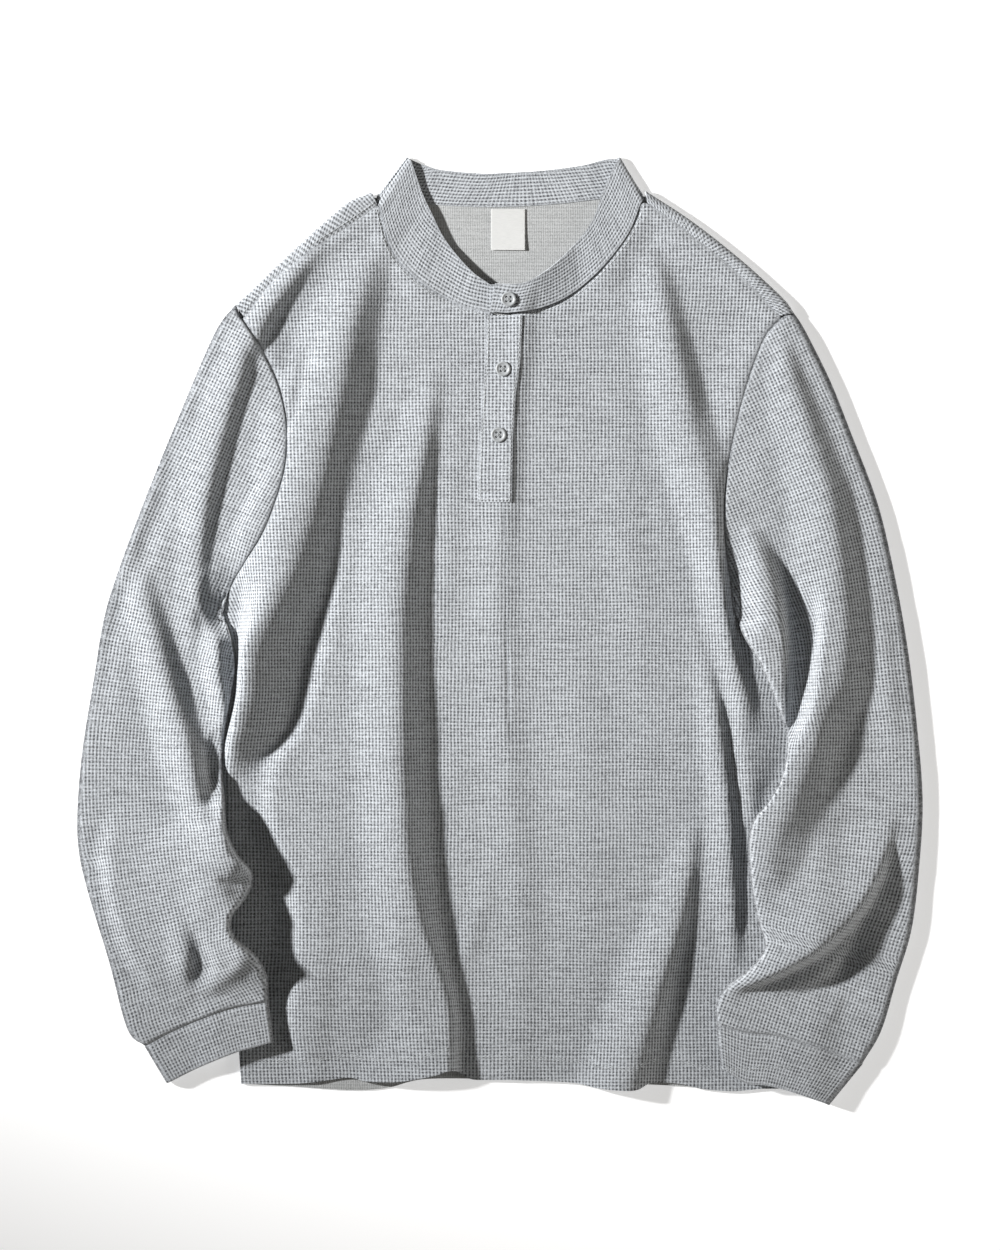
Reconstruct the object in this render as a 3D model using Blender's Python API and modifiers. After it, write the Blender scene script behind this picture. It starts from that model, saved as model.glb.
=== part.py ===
"""Long-sleeved henley thermal top in waffle knit, laid flat on its back.

The frame is in metres, +Z up. The top lies on z = 0 with its collar towards +Y, and the origin is
under the middle of its box. The tables below are in millimetres, seen from above. Left and right
are the viewer's. Every panel is a plan grid with a height for each point, made solid by Solidify.
"""
import math

import bmesh
import bpy
import numpy as np

MM = 0.001

# ---- Driving sizes, in millimetres ----------------------------------------------------------------
WALL = 1.8                # one layer of waffle knit
BAND_WALL = 2.8           # doubled cloth of the collar and cuffs
STRIP_WALL = 2.0          # doubled cloth of the placket
SEAM = 0.4                # space left between pieces that are sewn together
ARM_GAP = 0.7             # how far each edge keeps off the line of an armhole
ROLL = 3.7                # radius of the middle of the cloth where it folds over at a shoulder
SLEEVE_ROLL = 4.0         # half the height of a flattened sleeve, middle of wall to middle of wall
CUFF_ROLL = 4.2           # the same for a cuff
BUTTON_WIDTH = 12.0
BUTTON_HEIGHT = 2.6
LABEL_WALL = 1.0

BACK_MID = WALL / 2                           # middle of the back panel's wall above the floor
FRONT_MID = WALL + SEAM + WALL / 2            # the same for the front panel where it lies flat
OVER_BODY = FRONT_MID + WALL / 2 + SEAM       # height of what a sleeve rests on over the body
CLIMB = 12.0                                  # width of the slope where a sleeve climbs onto the body
CLIMB_END = 12.0                              # how far outside the body's side that slope ends

# Shares along a sleeve's flattened width, from its outer edge to its inner edge. The close ones at
# the two ends shape the rolled edges.
EDGE_SHARE = 0.035
ACROSS = (0, 0.012, EDGE_SHARE, 0.11, 0.21, 0.31, 0.42, 0.53, 0.64, 0.74, 0.83, 0.91,
          1 - EDGE_SHARE, 0.988, 1)
SHOULDER_SKIP = 3         # the front's edge takes up the armhole here, below the rolled strip

LOWER_ARM_ROWS = 6        # points down the lower part of an armhole
LEFT_ARM_SPLIT = 0.44     # share of the armhole above its innermost point
RIGHT_ARM_SPLIT = 0.66
SIDE_ROWS = 11            # rows of the front from the hem to the underarm
BACK_SIDE_ROWS = 5        # the same for the back, which is flat
SHOULDER_COLUMNS = 7
NECK_COLUMNS = 12
PLACKET_COLUMNS = 3
SLEEVE_ROWS = 18          # rows of a sleeve from the underarm to the cuff
CUFF_ROWS = 4
ARM_BLEND = 26            # distance over which a sleeve leaves the front panel's height
ROLL_STEPS = 4            # steps around the fold of a shoulder or of the collar
SLIT_ROWS = 7             # rows of the front beside the open slit
COLLAR_COLUMNS = 4        # points across the collar's height
STRIP_COLUMNS = 5
STRIP_ROWS = 12
STRIP_GAP = 1.2           # plan gap between the front's shoulder seam and the back's strip
SLEEVE_END = 6.0          # half the height a sleeve closes to where its cuff is sewn on
CUFF_CLOSE = 0.1          # last share of a sleeve, over which its folds die away to the cuff's height

# ---- Plan lines: x, y ----------------------------------------------------------------------------
LEFT_SIDE = [(-207, -362), (-209, -330), (-214, -263), (-217, -191), (-218.5, -140), (-220.5, -112),
             (-219.5, -90), (-216, -68), (-212.5, -48), (-210, -27), (-211.5, -10), (-220.8, 12)]
BACK_LEFT_SIDE = [(-207, -362), (-209, -330), (-214, -263), (-219, -191), (-222, -160), (-225, -125),
                  (-224.5, -90), (-220, -60), (-215.5, -27), (-215, -8), (-220.8, 12)]
LEFT_ARMHOLE = [(-211, 260), (-207, 251), (-192, 228), (-179, 202), (-172, 177), (-170, 153),
                (-172, 129), (-180, 101), (-190, 77), (-203, 56), (-215, 36), (-222, 12)]
LEFT_SHOULDER = [(-211, 260), (-197, 273), (-171, 298), (-146, 321), (-121, 342), (-102, 350)]
LEFT_SHOULDER_SEAM = [(-204, 250), (-184, 276), (-166, 292), (-146, 308), (-127, 320), (-98, 340)]
LEFT_HEM = [(-207, -362), (-167, -362), (-144, -360), (-121, -357), (-106, -360), (-81, -360),
            (-53, -355), (-38, -351), (-24, -358), (-17, -359)]

RIGHT_SIDE = [(233, -366), (236, -280), (237, -200), (238, -140), (238, -100), (231, -58),
              (217, -20), (203, 1), (187.3, 14)]
RIGHT_ARMHOLE = [(234, 254), (225, 250), (212, 235), (200, 205), (190, 169), (182, 129),
                 (179, 97), (180, 69), (183, 45), (186, 28), (188, 14)]
RIGHT_SHOULDER = [(234, 254), (227, 264), (207, 283), (191, 297), (170, 314), (147, 331), (116, 351)]
RIGHT_SHOULDER_SEAM = [(223.5, 252), (219, 257), (207, 270), (182, 293), (151, 318), (118, 342)]
RIGHT_HEM = [(9, -359), (57, -361), (77, -365), (99, -367), (110, -366), (121, -361), (144, -362),
             (161, -366), (186, -368), (210, -366), (233, -366)]

BACK_HEM = [(-207, -363), (-167, -365), (-120, -368), (-90, -366), (-60, -359), (-2, -359),
            (60, -361), (120, -363), (180, -366), (232, -366)]

# The two edges of the placket's slit, from the hem up: the panel is whole below the slit's end.
SLIT_LEFT = [(-17, -359), (-16, -200), (-14, -40), (-13, 108)]
SLIT_RIGHT = [(9, -359), (8, -200), (6, -40), (5.5, 108)]
SLIT_LEFT_TOP = [(-13, 108), (-11, 160), (-8, 210), (-6, 253.5)]
SLIT_RIGHT_TOP = [(5.5, 108), (7, 160), (10, 210), (14, 252.5)]

LEFT_SLEEVE_OUTER = [(-211, 260), (-222, 247), (-232, 228), (-252, 181), (-280, 113), (-304, 49),
                     (-316, 9), (-324, -39), (-333, -95), (-337, -143), (-336, -175), (-329, -207),
                     (-312, -263), (-297, -318), (-283, -331)]
LEFT_SLEEVE_INNER = [(-222, 12), (-216, -8), (-212.5, -27), (-214.6, -48), (-218.2, -68),
                     (-221.8, -90), (-222.6, -112), (-220.4, -138), (-218.5, -160), (-210, -179),
                     (-198, -195), (-203, -212), (-215, -229), (-212, -245), (-196, -259),
                     (-187, -275), (-186, -296)]
LEFT_CUFF_SEAM = [(-283, -331), (-256, -317), (-224, -304), (-205, -299), (-186, -296)]
LEFT_CUFF_MOUTH = [(-265, -361), (-240, -352), (-212, -340), (-196, -335), (-182, -330)]

RIGHT_SLEEVE_OUTER = [(234, 254), (243, 240), (263, 200), (279, 160), (300, 105), (312, 57),
                      (324, -7), (332, -71), (337, -135), (334, -191), (328, -239), (316, -279),
                      (304, -319), (289, -345)]
RIGHT_SLEEVE_INNER = [(188, 14), (196, -5), (210, -29), (224, -65), (230, -87),
                      (226, -116), (214, -138), (203, -152), (199, -172), (201, -200),
                      (206, -229), (212, -252), (200, -270), (183, -283), (173, -298), (174, -314)]
RIGHT_CUFF_SEAM = [(289, -345), (250, -331), (222, -323), (196, -320), (174, -314)]
RIGHT_CUFF_MOUTH = [(262, -378), (236, -369), (214, -363), (196, -361), (178, -350)]

# ---- Folds: x, y and height of the crest, half width of its flat top, reach to the left and right --
# A crest is listed from the collar end down. It adds to what it lies on.
LEFT_CAP_FOLD = [(-146, 309, 2, 0, 14, 10), (-167, 281, 5, 0, 16, 11), (-188, 250, 7, 0, 20, 12),
                 (-211, 201, 8, 0, 24, 15), (-225, 153, 8, 0, 24, 15), (-236, 105, 8, 0, 22, 14),
                 (-242, 57, 5.5, 0, 20, 13), (-247, 9, 3, 0, 16, 12), (-248, -40, 0, 0, 12, 12)]
LEFT_BODY_ROLL = [(-90, 330, 0, 0, 16, 16), (-106, 289, 6, 0, 30, 22), (-121, 249, 12, 0, 38, 30),
                  (-132, 201, 17, 0, 48, 36), (-142, 153, 17, 0, 56, 36), (-154, 105, 18, 0, 58, 37),
                  (-170, 57, 24, 0, 54, 46), (-188, 20, 28, 0, 24, 50), (-204, -15, 31, 0, 6, 56),
                  (-207, -50, 30, 0, 5, 54), (-214, -78, 25, 0, 4, 48), (-217, -98, 12, 0, 5, 34),
                  (-217, -120, 0, 0, 5, 22)]
LONG_FOLD = [(-52, 215, 0, 0, 16, 12), (-61, 153, 6, 0, 28, 14), (-71, 105, 9, 0, 38, 20),
             (-79, 57, 10, 0, 40, 28), (-83, 9, 10, 0, 40, 30), (-83, -39, 10, 0, 40, 30),
             (-82, -87, 10.5, 0, 40, 30), (-80, -135, 11, 0, 40, 30), (-77, -183, 11, 0, 40, 28),
             (-71, -231, 9.5, 4, 38, 22), (-61, -279, 6, 12, 24, 12), (-50, -312, 8, 10, 40, 9),
             (-45, -340, 13, 5, 74, 8), (-42, -365, 16, 2, 84, 8)]
LEFT_PLATEAU = [(-76, 190, 0, 16, 12, 14), (-84, 153, 1, 23, 12, 14), (-95, 105, 2.5, 24, 12, 20),
                (-100, 57, 4.5, 21, 12, 28), (-106.5, 9, 6, 23.5, 14, 30), (-112, -39, 7, 29, 15, 30),
                (-119, -87, 7.5, 37, 15, 30), (-130, -135, 8, 50, 15, 30), (-120, -183, 8, 43, 15, 28),
                (-112, -231, 8.5, 45, 15, 22), (-105, -279, 8, 56, 13, 12), (-100, -312, 5, 60, 13, 9),
                (-96, -340, 1.5, 56, 12, 8), (-94, -365, 0, 54, 12, 8)]
CENTRE_FOLD = [(16, 250, 2, 0, 26, 18), (4, 150, 2.5, 0, 26, 18), (0, 0, 2.5, 0, 26, 18),
               (8, -140, 2.5, 0, 26, 20), (16, -240, 2, 0, 26, 20), (10, -363, 1, 0, 26, 20)]
RIGHT_CHEST_FOLD = [(118, 312, 0, 0, 18, 12), (125, 285, 4, 0, 24, 14), (133, 249, 8, 0, 30, 18),
                    (143, 201, 10, 0, 34, 21), (154, 153, 11, 0, 34, 24), (166, 105, 12, 0, 32, 24),
                    (174, 57, 12, 0, 24, 11), (179.5, 20, 11, 0, 24, 6.5), (184.5, -7, 10, 0, 24, 7),
                    (189, -34, 8, 0, 20, 10), (195, -58, 5, 0, 16, 12), (198, -80, 0, 0, 14, 12)]
RIGHT_SIDE_FOLD = [(155, 9, 0, 0, 14, 9), (168, -39, 4, 0, 16, 8), (176, -87, 8, 0, 20, 7),
                   (182, -135, 8, 0, 20, 7), (185, -183, 8, 0, 24, 7), (187, -225, 6.5, 0, 24, 7),
                   (188, -255, 3, 0, 16, 7), (189, -272, 0, 0, 16, 7)]
RIGHT_EDGE_ROLL = [(182, -26, 0, 0, 8, 18), (187, -48, 4, 0, 8, 26), (191, -71, 6, 0, 8, 32),
                   (195, -105, 6, 0, 8, 28), (199, -135, 5, 0, 8, 14), (200, -160, 0, 0, 8, 8)]
HEM_FOLD = [(156, -150, 0, 0, 14, 8), (152, -183, 4.5, 0, 22, 9), (142, -231, 9, 0, 30, 13),
            (127, -279, 13, 0, 38, 19), (111, -327, 14, 0, 40, 26), (98, -366, 15, 0, 42, 32)]
# The body's edge lifts towards the sleeves and collar.
LEFT_LIFT = [(-60, 276, 2.5, 0, 24, 24), (-98, 340, 5.2, 0, 30, 30), (-146, 308, 5.2, 0, 34, 34),
             (-204, 250, 5.2, 0, 34, 34), (-180, 200, 5.2, 0, 34, 34), (-171, 150, 4, 0, 34, 34),
             (-190, 77, 3, 0, 30, 30), (-215, 30, 2, 0, 20, 20)]
RIGHT_LIFT = [(80, 288, 3, 0, 24, 24), (118, 342, 5.2, 0, 30, 30), (151, 318, 5.2, 0, 34, 34),
              (222, 256, 5.2, 0, 34, 34), (200, 205, 5.2, 0, 34, 34), (184, 140, 4, 0, 30, 30),
              (180, 90, 1, 0, 20, 20)]
FRONT_FOLDS = [LEFT_CAP_FOLD, LEFT_BODY_ROLL, LONG_FOLD, LEFT_PLATEAU, CENTRE_FOLD,
               RIGHT_CHEST_FOLD, RIGHT_SIDE_FOLD, RIGHT_EDGE_ROLL, HEM_FOLD]
FRONT_LIFTS = [LEFT_LIFT, RIGHT_LIFT]

LEFT_UNDERARM_FLAP = [(-202, 64, 2, 0, 5, 16), (-218, 42, 5, 0, 5, 18), (-234, 27, 6, 0, 5, 18),
                      (-229, 8, 6, 0, 5, 18), (-219, -14, 4, 0, 5, 14), (-212, -45, 0, 0, 5, 12)]
LEFT_SLEEVE_FOLD = [(-296, 78, 0, 0, 14, 12), (-289, 41, 4, 0, 18, 14), (-280, 9, 8, 0, 22, 16),
                    (-267, -39, 12, 0, 26, 19), (-253, -87, 13, 0, 28, 19), (-242, -135, 9, 0, 22, 12),
                    (-234, -160, 0, 0, 14, 8)]
LEFT_ELBOW_MOUND = [(-218, -112, 0, 0, 8, 6), (-214, -135, 12, 2, 9, 6), (-219, -158, 12, 0, 46, 9),
                    (-219, -178, 13, 2, 90, 10), (-205, -190, 14, 1, 96, 6), (-199, -202, 14, 1, 96, 6),
                    (-208, -215, 14, 2, 96, 6), (-213, -232, 14, 2, 96, 6), (-207, -248, 16, 2, 90, 6),
                    (-194, -262, 17, 2, 84, 6), (-187, -281, 14, 2, 70, 6), (-187, -302, 3, 0, 20, 6)]
LEFT_FOREARM_BULK = [(-262, -140, 0, 40, 14, 10), (-262, -175, 8, 48, 14, 14), (-256, -205, 9, 50, 14, 14),
                     (-252, -235, 8, 44, 16, 14), (-244, -265, 5, 36, 16, 14), (-236, -295, 0, 30, 16, 14)]
LEFT_WRIST_FOLD = [(-200, -256, 0, 0, 8, 8), (-212, -270, 5, 0, 8, 10), (-230, -283, 6, 0, 9, 10),
                   (-252, -294, 4, 0, 10, 10), (-268, -302, 0, 0, 8, 8)]
LEFT_POCKET_RIDGE = [(-262, -226, 0, 0, 12, 8), (-252, -246, 5, 0, 18, 11), (-250, -266, 6, 0, 18, 11),
                     (-254, -290, 0, 0, 12, 8)]
LEFT_FLAP_FOLD = [(-228, 66, 0, 0, 10, 8), (-238, 36, 3, 0, 12, 9), (-238, 4, 6, 0, 14, 10),
                  (-226, -26, 9, 0, 16, 8), (-222, -50, 10, 0, 14, 8), (-220, -70, 7, 0, 14, 6),
                  (-225, -92, 0, 0, 8, 6)]
LEFT_BAY = [(-221, -74, 0, 0, 4, 6), (-226, -88, -4, 3, 5, 7), (-230, -104, -5, 5, 6, 7),
            (-229, -118, -4.5, 3, 5, 7), (-222, -134, 0, 0, 4, 6)]
LEFT_SLEEVE_FOLDS = [LEFT_CAP_FOLD, LEFT_BODY_ROLL, LEFT_UNDERARM_FLAP, LEFT_SLEEVE_FOLD,
                     LEFT_FLAP_FOLD, LEFT_BAY, LEFT_ELBOW_MOUND, LEFT_FOREARM_BULK,
                     LEFT_WRIST_FOLD, LEFT_POCKET_RIDGE]

RIGHT_UNDERARM_FOLD = [(192, 90, 0, 0, 12, 8), (206, 57, 9, 0, 26, 18), (214, 28, 11, 3, 34, 16),
                       (219, -4, 11, 4, 40, 12), (223, -34, 8, 2, 36, 10), (227, -58, 2, 0, 20, 8),
                       (229, -78, 0, 0, 10, 6)]
RIGHT_SLEEVE_FOLD = [(220, 240, 2, 0, 16, 10), (232, 201, 7, 0, 26, 14), (247, 153, 9, 0, 32, 20),
                     (260, 105, 11.5, 0, 36, 24), (267, 57, 12.5, 0, 40, 26), (265, 9, 15, 5, 9, 32),
                     (260, -39, 16, 5, 8, 36), (250, -71, 16, 2, 8, 34), (241, -95, 16, 2, 20, 34),
                     (227, -135, 14, 0, 44, 36), (208, -180, 13, 0, 44, 38), (204, -215, 3, 0, 20, 20),
                     (204, -232, 0, 0, 20, 20)]
RIGHT_FOREARM_FOLD = [(314, -142, 0, 0, 24, 8), (308, -170, 5, 0, 40, 8), (300, -194, 11, 0, 80, 8),
                      (286, -219, 14, 0, 100, 9), (262, -246, 15, 0, 110, 9), (232, -265, 13, 0, 70, 8),
                      (204, -278, 9, 0, 30, 7), (186, -284, 3, 0, 10, 5)]
RIGHT_WEDGE = [(216, 76, 0, 0, 8, 10), (224, 50, -1.5, 0, 9, 14), (235, 20, -5, 2, 9, 10),
               (240, -14, -6, 3, 9, 8), (238, -50, -6, 3, 7, 6), (234, -76, -5, 2, 6, 5),
               (231, -95, 0, 0, 5, 5)]
RIGHT_SLEEVE_FOLDS = [RIGHT_UNDERARM_FOLD, RIGHT_WEDGE, RIGHT_SLEEVE_FOLD, RIGHT_FOREARM_FOLD]

# ---- Collar: seam edge x, y and its height over the panel, then free edge x, y, z ------------------
COLLAR_LEFT_END = [(7, 254, 0.9, 10, 276, 6.4), (-9, 255, 0.9, -8, 277, 7.0)]
COLLAR_LEFT = [(-9, 255, 0.9, -8, 277, 7.0), (-32, 261, 0.8, -24, 289, 8.6),
               (-60, 277, 0.8, -44, 313, 10), (-76, 291, 0.6, -55, 335, 10.6),
               (-88, 309, 0.4, -62, 350, 10), (-95.5, 338, 0.2, -71, 375.9, 8.2)]
COLLAR_BACK = [(-96, 347.5, 0, -72, 377.4, 1.4), (-86, 344.5, 0, -62, 373, 1.4),
               (-60, 341.5, 0, -48, 369, 1.4), (-30, 339.5, 0, -16, 366, 1.4),
               (0, 339, 0, 6, 366.5, 1.4), (40, 341, 0, 32, 368, 1.4), (80, 345.5, 0, 64, 372, 1.4),
               (100, 348.5, 0, 84, 377, 1.4), (110.5, 349.3, 0, 92, 377.4, 1.4)]
COLLAR_RIGHT = [(112.5, 342, 0.2, 94, 375.9, 8.2), (102, 317, 0.6, 83, 352, 9.6),
                (80, 289, 1.0, 72, 325, 10), (56, 269, 1.6, 52, 301, 10.2),
                (32, 258.5, 2.8, 34, 286, 10.4), (8, 254.5, 4.2, 18, 278, 10.8),
                (-8, 255.5, 4.6, -4, 277.5, 10.8)]
COLLAR_TURN_OUT = 2.8     # how far the collar's folds stand out in plan

# ---- Placket: y, then the left and right edges ----------------------------------------------------
PLACKET_ROWS = [(252.5, -10.4, 18), (217, -11.6, 16.5), (188, -14, 12.6), (154, -16, 10.4),
                (111, -17.6, 9.6), (103, -17.6, 9.6)]
BUTTONS = {"button_collar": (6.8, 265), "button_upper": (2.4, 209.5), "button_lower": (-1.2, 156.8)}
BUTTON_COLLAR_SEAT = 11.35     # top of the lapped collar under its button
LABEL_X = (-7, 20)
LABEL_Y = (337.5, 304.5)
LABEL_RISE = 2.0          # how far the label's free end stands off the back

COLOURS = {  # linear colour, roughness
    "knit": ((0.40, 0.43, 0.45), 0.95),
    "button": ((0.36, 0.38, 0.39), 0.45),
    "label": ((0.85, 0.85, 0.83), 0.8),
}

# ---- Lines and heights ----------------------------------------------------------------------------


def smooth_line(rows, count=None, shares=None):
    """Points along a smooth curve through the rows, at even steps or at shares of its length."""
    rows = np.asarray(rows, float)
    ends = np.vstack([2 * rows[0] - rows[1], rows, 2 * rows[-1] - rows[-2]])
    steps = np.linspace(0, 1, 12, endpoint=False)[:, None]
    spans = []
    for before, start, end, after in zip(ends, ends[1:], ends[2:], ends[3:]):
        spans.append(0.5 * (2 * start + (end - before) * steps
                            + (2 * before - 5 * start + 4 * end - after) * steps ** 2
                            + (3 * start - before - 3 * end + after) * steps ** 3))
    dense = np.vstack(spans + [rows[-1:]])
    lengths = np.hypot(*np.diff(dense[:, :2], axis=0).T)
    along = np.concatenate([[0], np.cumsum(lengths)]) / lengths.sum()
    at = np.linspace(0, 1, count) if shares is None else np.asarray(shares)
    return np.column_stack([np.interp(at, along, column) for column in dense.T])


def join_lines(*lines):
    """One line from several that meet end to end."""
    return np.vstack([lines[0]] + [line[1:] for line in lines[1:]])


def normals(line):
    """Unit normals of a plan line, on the left of its direction."""
    ahead = np.gradient(line[:, :2], axis=0)
    ahead /= np.hypot(*ahead.T)[:, None]
    return np.column_stack([-ahead[:, 1], ahead[:, 0]])


def coons(bottom, top, left, right):
    """Plan grid [row, column] that fills the space between four edge lines; row 0 is the bottom."""
    across = np.linspace(0, 1, len(bottom))[None, :, None]
    up = np.linspace(0, 1, len(left))[:, None, None]
    between_ends = (1 - up) * bottom[None] + up * top[None]
    between_sides = (1 - across) * left[:, None] + across * right[:, None]
    corners = ((1 - up) * ((1 - across) * bottom[0] + across * bottom[-1])
               + up * ((1 - across) * top[0] + across * top[-1]))
    return between_ends + between_sides - corners


def fall(share):
    """0 to 1 down a fold's side: level at the crest and the foot, and straight between them."""
    share = np.clip(share, 0, 1)
    top, foot = 0.28, 0.75
    rounded = np.where(share < top, share ** 2 / (2 * top), share - top / 2)
    past = np.maximum(share - foot, 0)
    return (rounded - past ** 2 / (2 * (1 - foot))) / ((1 + foot - top) / 2)


def fold_height(plan, folds):
    """Sum of the heights of the folds at each plan point."""
    x, y = plan[..., 0], plan[..., 1]
    total = np.zeros(x.shape)
    for crest in folds:
        line = smooth_line(crest, 4 * len(crest))
        nearest = np.full(x.shape, np.inf)
        height = np.zeros(x.shape)
        for start, end in zip(line, line[1:]):
            run = end[:2] - start[:2]
            length = math.hypot(*run)
            run = run / length
            off_x, off_y = x - start[0], y - start[1]
            share = np.clip((off_x * run[0] + off_y * run[1]) / length, 0, 1)
            gap = np.hypot(off_x - share * length * run[0], off_y - share * length * run[1])
            on_right = off_y * run[0] - off_x * run[1] > 0
            crest_z, flat, left, right = (start[k] + share * (end[k] - start[k]) for k in range(2, 6))
            reach = np.where(on_right, right, left)
            value = crest_z * (1 - fall((gap - flat) / reach))
            closer = gap < nearest
            height = np.where(closer, value, height)
            nearest = np.where(closer, gap, nearest)
        total += height
    return total


def largest_height(plan, folds):
    """The highest of the folds at each plan point, for lifts that overlap."""
    return np.max([fold_height(plan, [fold]) for fold in folds], axis=0)


def front_height(plan):
    """Middle of the front panel's wall above the floor."""
    return FRONT_MID + largest_height(plan, FRONT_LIFTS) + fold_height(plan, FRONT_FOLDS)


def inside_distance(plan, side):
    """Distance from a body side line, which runs up from the hem: positive over the body."""
    line = smooth_line(side, 3 * len(side))
    towards_body = 1 if line[0, 0] < 0 else -1
    x, y = plan[..., 0], plan[..., 1]
    nearest = np.full(x.shape, np.inf)
    for start, end in zip(line, line[1:]):
        run = end - start
        off_x, off_y = x - start[0], y - start[1]
        share = np.clip((off_x * run[0] + off_y * run[1]) / (run @ run), 0, 1)
        nearest = np.minimum(nearest, np.hypot(off_x - share * run[0], off_y - share * run[1]))
    over = (x - np.interp(y, line[:, 1], line[:, 0])) * towards_body > 0
    beside = (y > line[0, 1]) & (y < line[-1, 1])
    return np.where(over & beside, nearest, -nearest)


def ease(share):
    """0 to 1 with level ends."""
    share = np.clip(share, 0, 1)
    return share * share * (3 - 2 * share)


def rest_height(plan, side):
    """Height of what a sleeve or cuff rests on: the floor, or the body past its side line."""
    return OVER_BODY * ease((inside_distance(plan, side) + CLIMB_END + CLIMB) / CLIMB)


def edge_round(shares, open_rows, rows):
    """0 at a tube's edges and 1 between, on a quarter circle; open rows have no inner edge."""
    def quarter(from_edge):
        return np.sqrt(1 - (1 - np.clip(from_edge / EDGE_SHARE, 0, 1)) ** 2)

    inner = np.repeat(quarter(1 - shares)[None], rows, axis=0)
    inner[:open_rows] = 1
    return quarter(shares)[None] * inner


def distance_to(plan, line):
    """Distance of each plan point to the nearest point of a line, and which one that is."""
    gaps = np.hypot(plan[..., None, 0] - line[:, 0], plan[..., None, 1] - line[:, 1])
    return gaps.min(axis=-1), gaps.argmin(axis=-1)


# ---- Meshes ---------------------------------------------------------------------------------------


def add_mesh(name, points, faces, wall, kind):
    """One object from points in millimetres; a wall above 0 makes it solid around its surface."""
    mesh = bpy.data.meshes.new(name)
    mesh.from_pydata([tuple(float(value) * MM for value in point) for point in points], [], faces)
    mesh.update()
    mesh.shade_smooth()
    piece = bpy.data.objects.new(name, mesh)
    top.objects.link(piece)
    mesh.materials.append(materials[kind])
    if wall:
        solid = piece.modifiers.new("wall", "SOLIDIFY")
        solid.thickness = wall * MM
        solid.offset = 0
    return piece


def grid_faces(rows, columns, first=0):
    """Quads of a grid stored row by row, facing up when rows go +Y and columns go +X."""
    return [(first + row * columns + column, first + row * columns + column + 1,
             first + (row + 1) * columns + column + 1, first + (row + 1) * columns + column)
            for row in range(rows - 1) for column in range(columns - 1)]


def lift(plan, z):
    """Plan grid and heights as points."""
    return np.dstack([plan, z])


def add_tube(name, plan, low, high, wall):
    """Flattened tube, open at both ends; its two layers join where they are at one height."""
    rows, columns = plan.shape[:2]
    count = rows * columns
    points = np.vstack([lift(plan, high).reshape(-1, 3), lift(plan, low).reshape(-1, 3)])
    faces = grid_faces(rows, columns, first=0) + [face[::-1] for face in grid_faces(rows, columns, count)]
    piece = add_mesh(name, points, faces, wall, "knit")
    tube = bmesh.new()
    tube.from_mesh(piece.data)
    bmesh.ops.remove_doubles(tube, verts=tube.verts, dist=0.001 * MM)
    tube.to_mesh(piece.data)
    tube.free()
    return piece


# ---- Body -----------------------------------------------------------------------------------------


def armhole_line(armhole, split, shift):
    """The armhole from the shoulder down, moved by shift towards the sleeve."""
    lower = split + (1 - split) * np.linspace(0, 1, LOWER_ARM_ROWS)[1:]
    line = smooth_line(armhole, shares=np.concatenate([split * np.asarray(ACROSS), lower]))
    outwards = 1 if armhole[0][0] < 0 else -1
    return line - normals(line) * shift * outwards


def body_edge(side, armhole, split, side_rows, skip):
    """A body panel's edge from the hem up to the shoulder, clear of the sleeve."""
    arm = armhole_line(armhole, split, -ARM_GAP)[skip:][::-1]
    return join_lines(smooth_line(side, side_rows + 1), arm)


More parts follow.
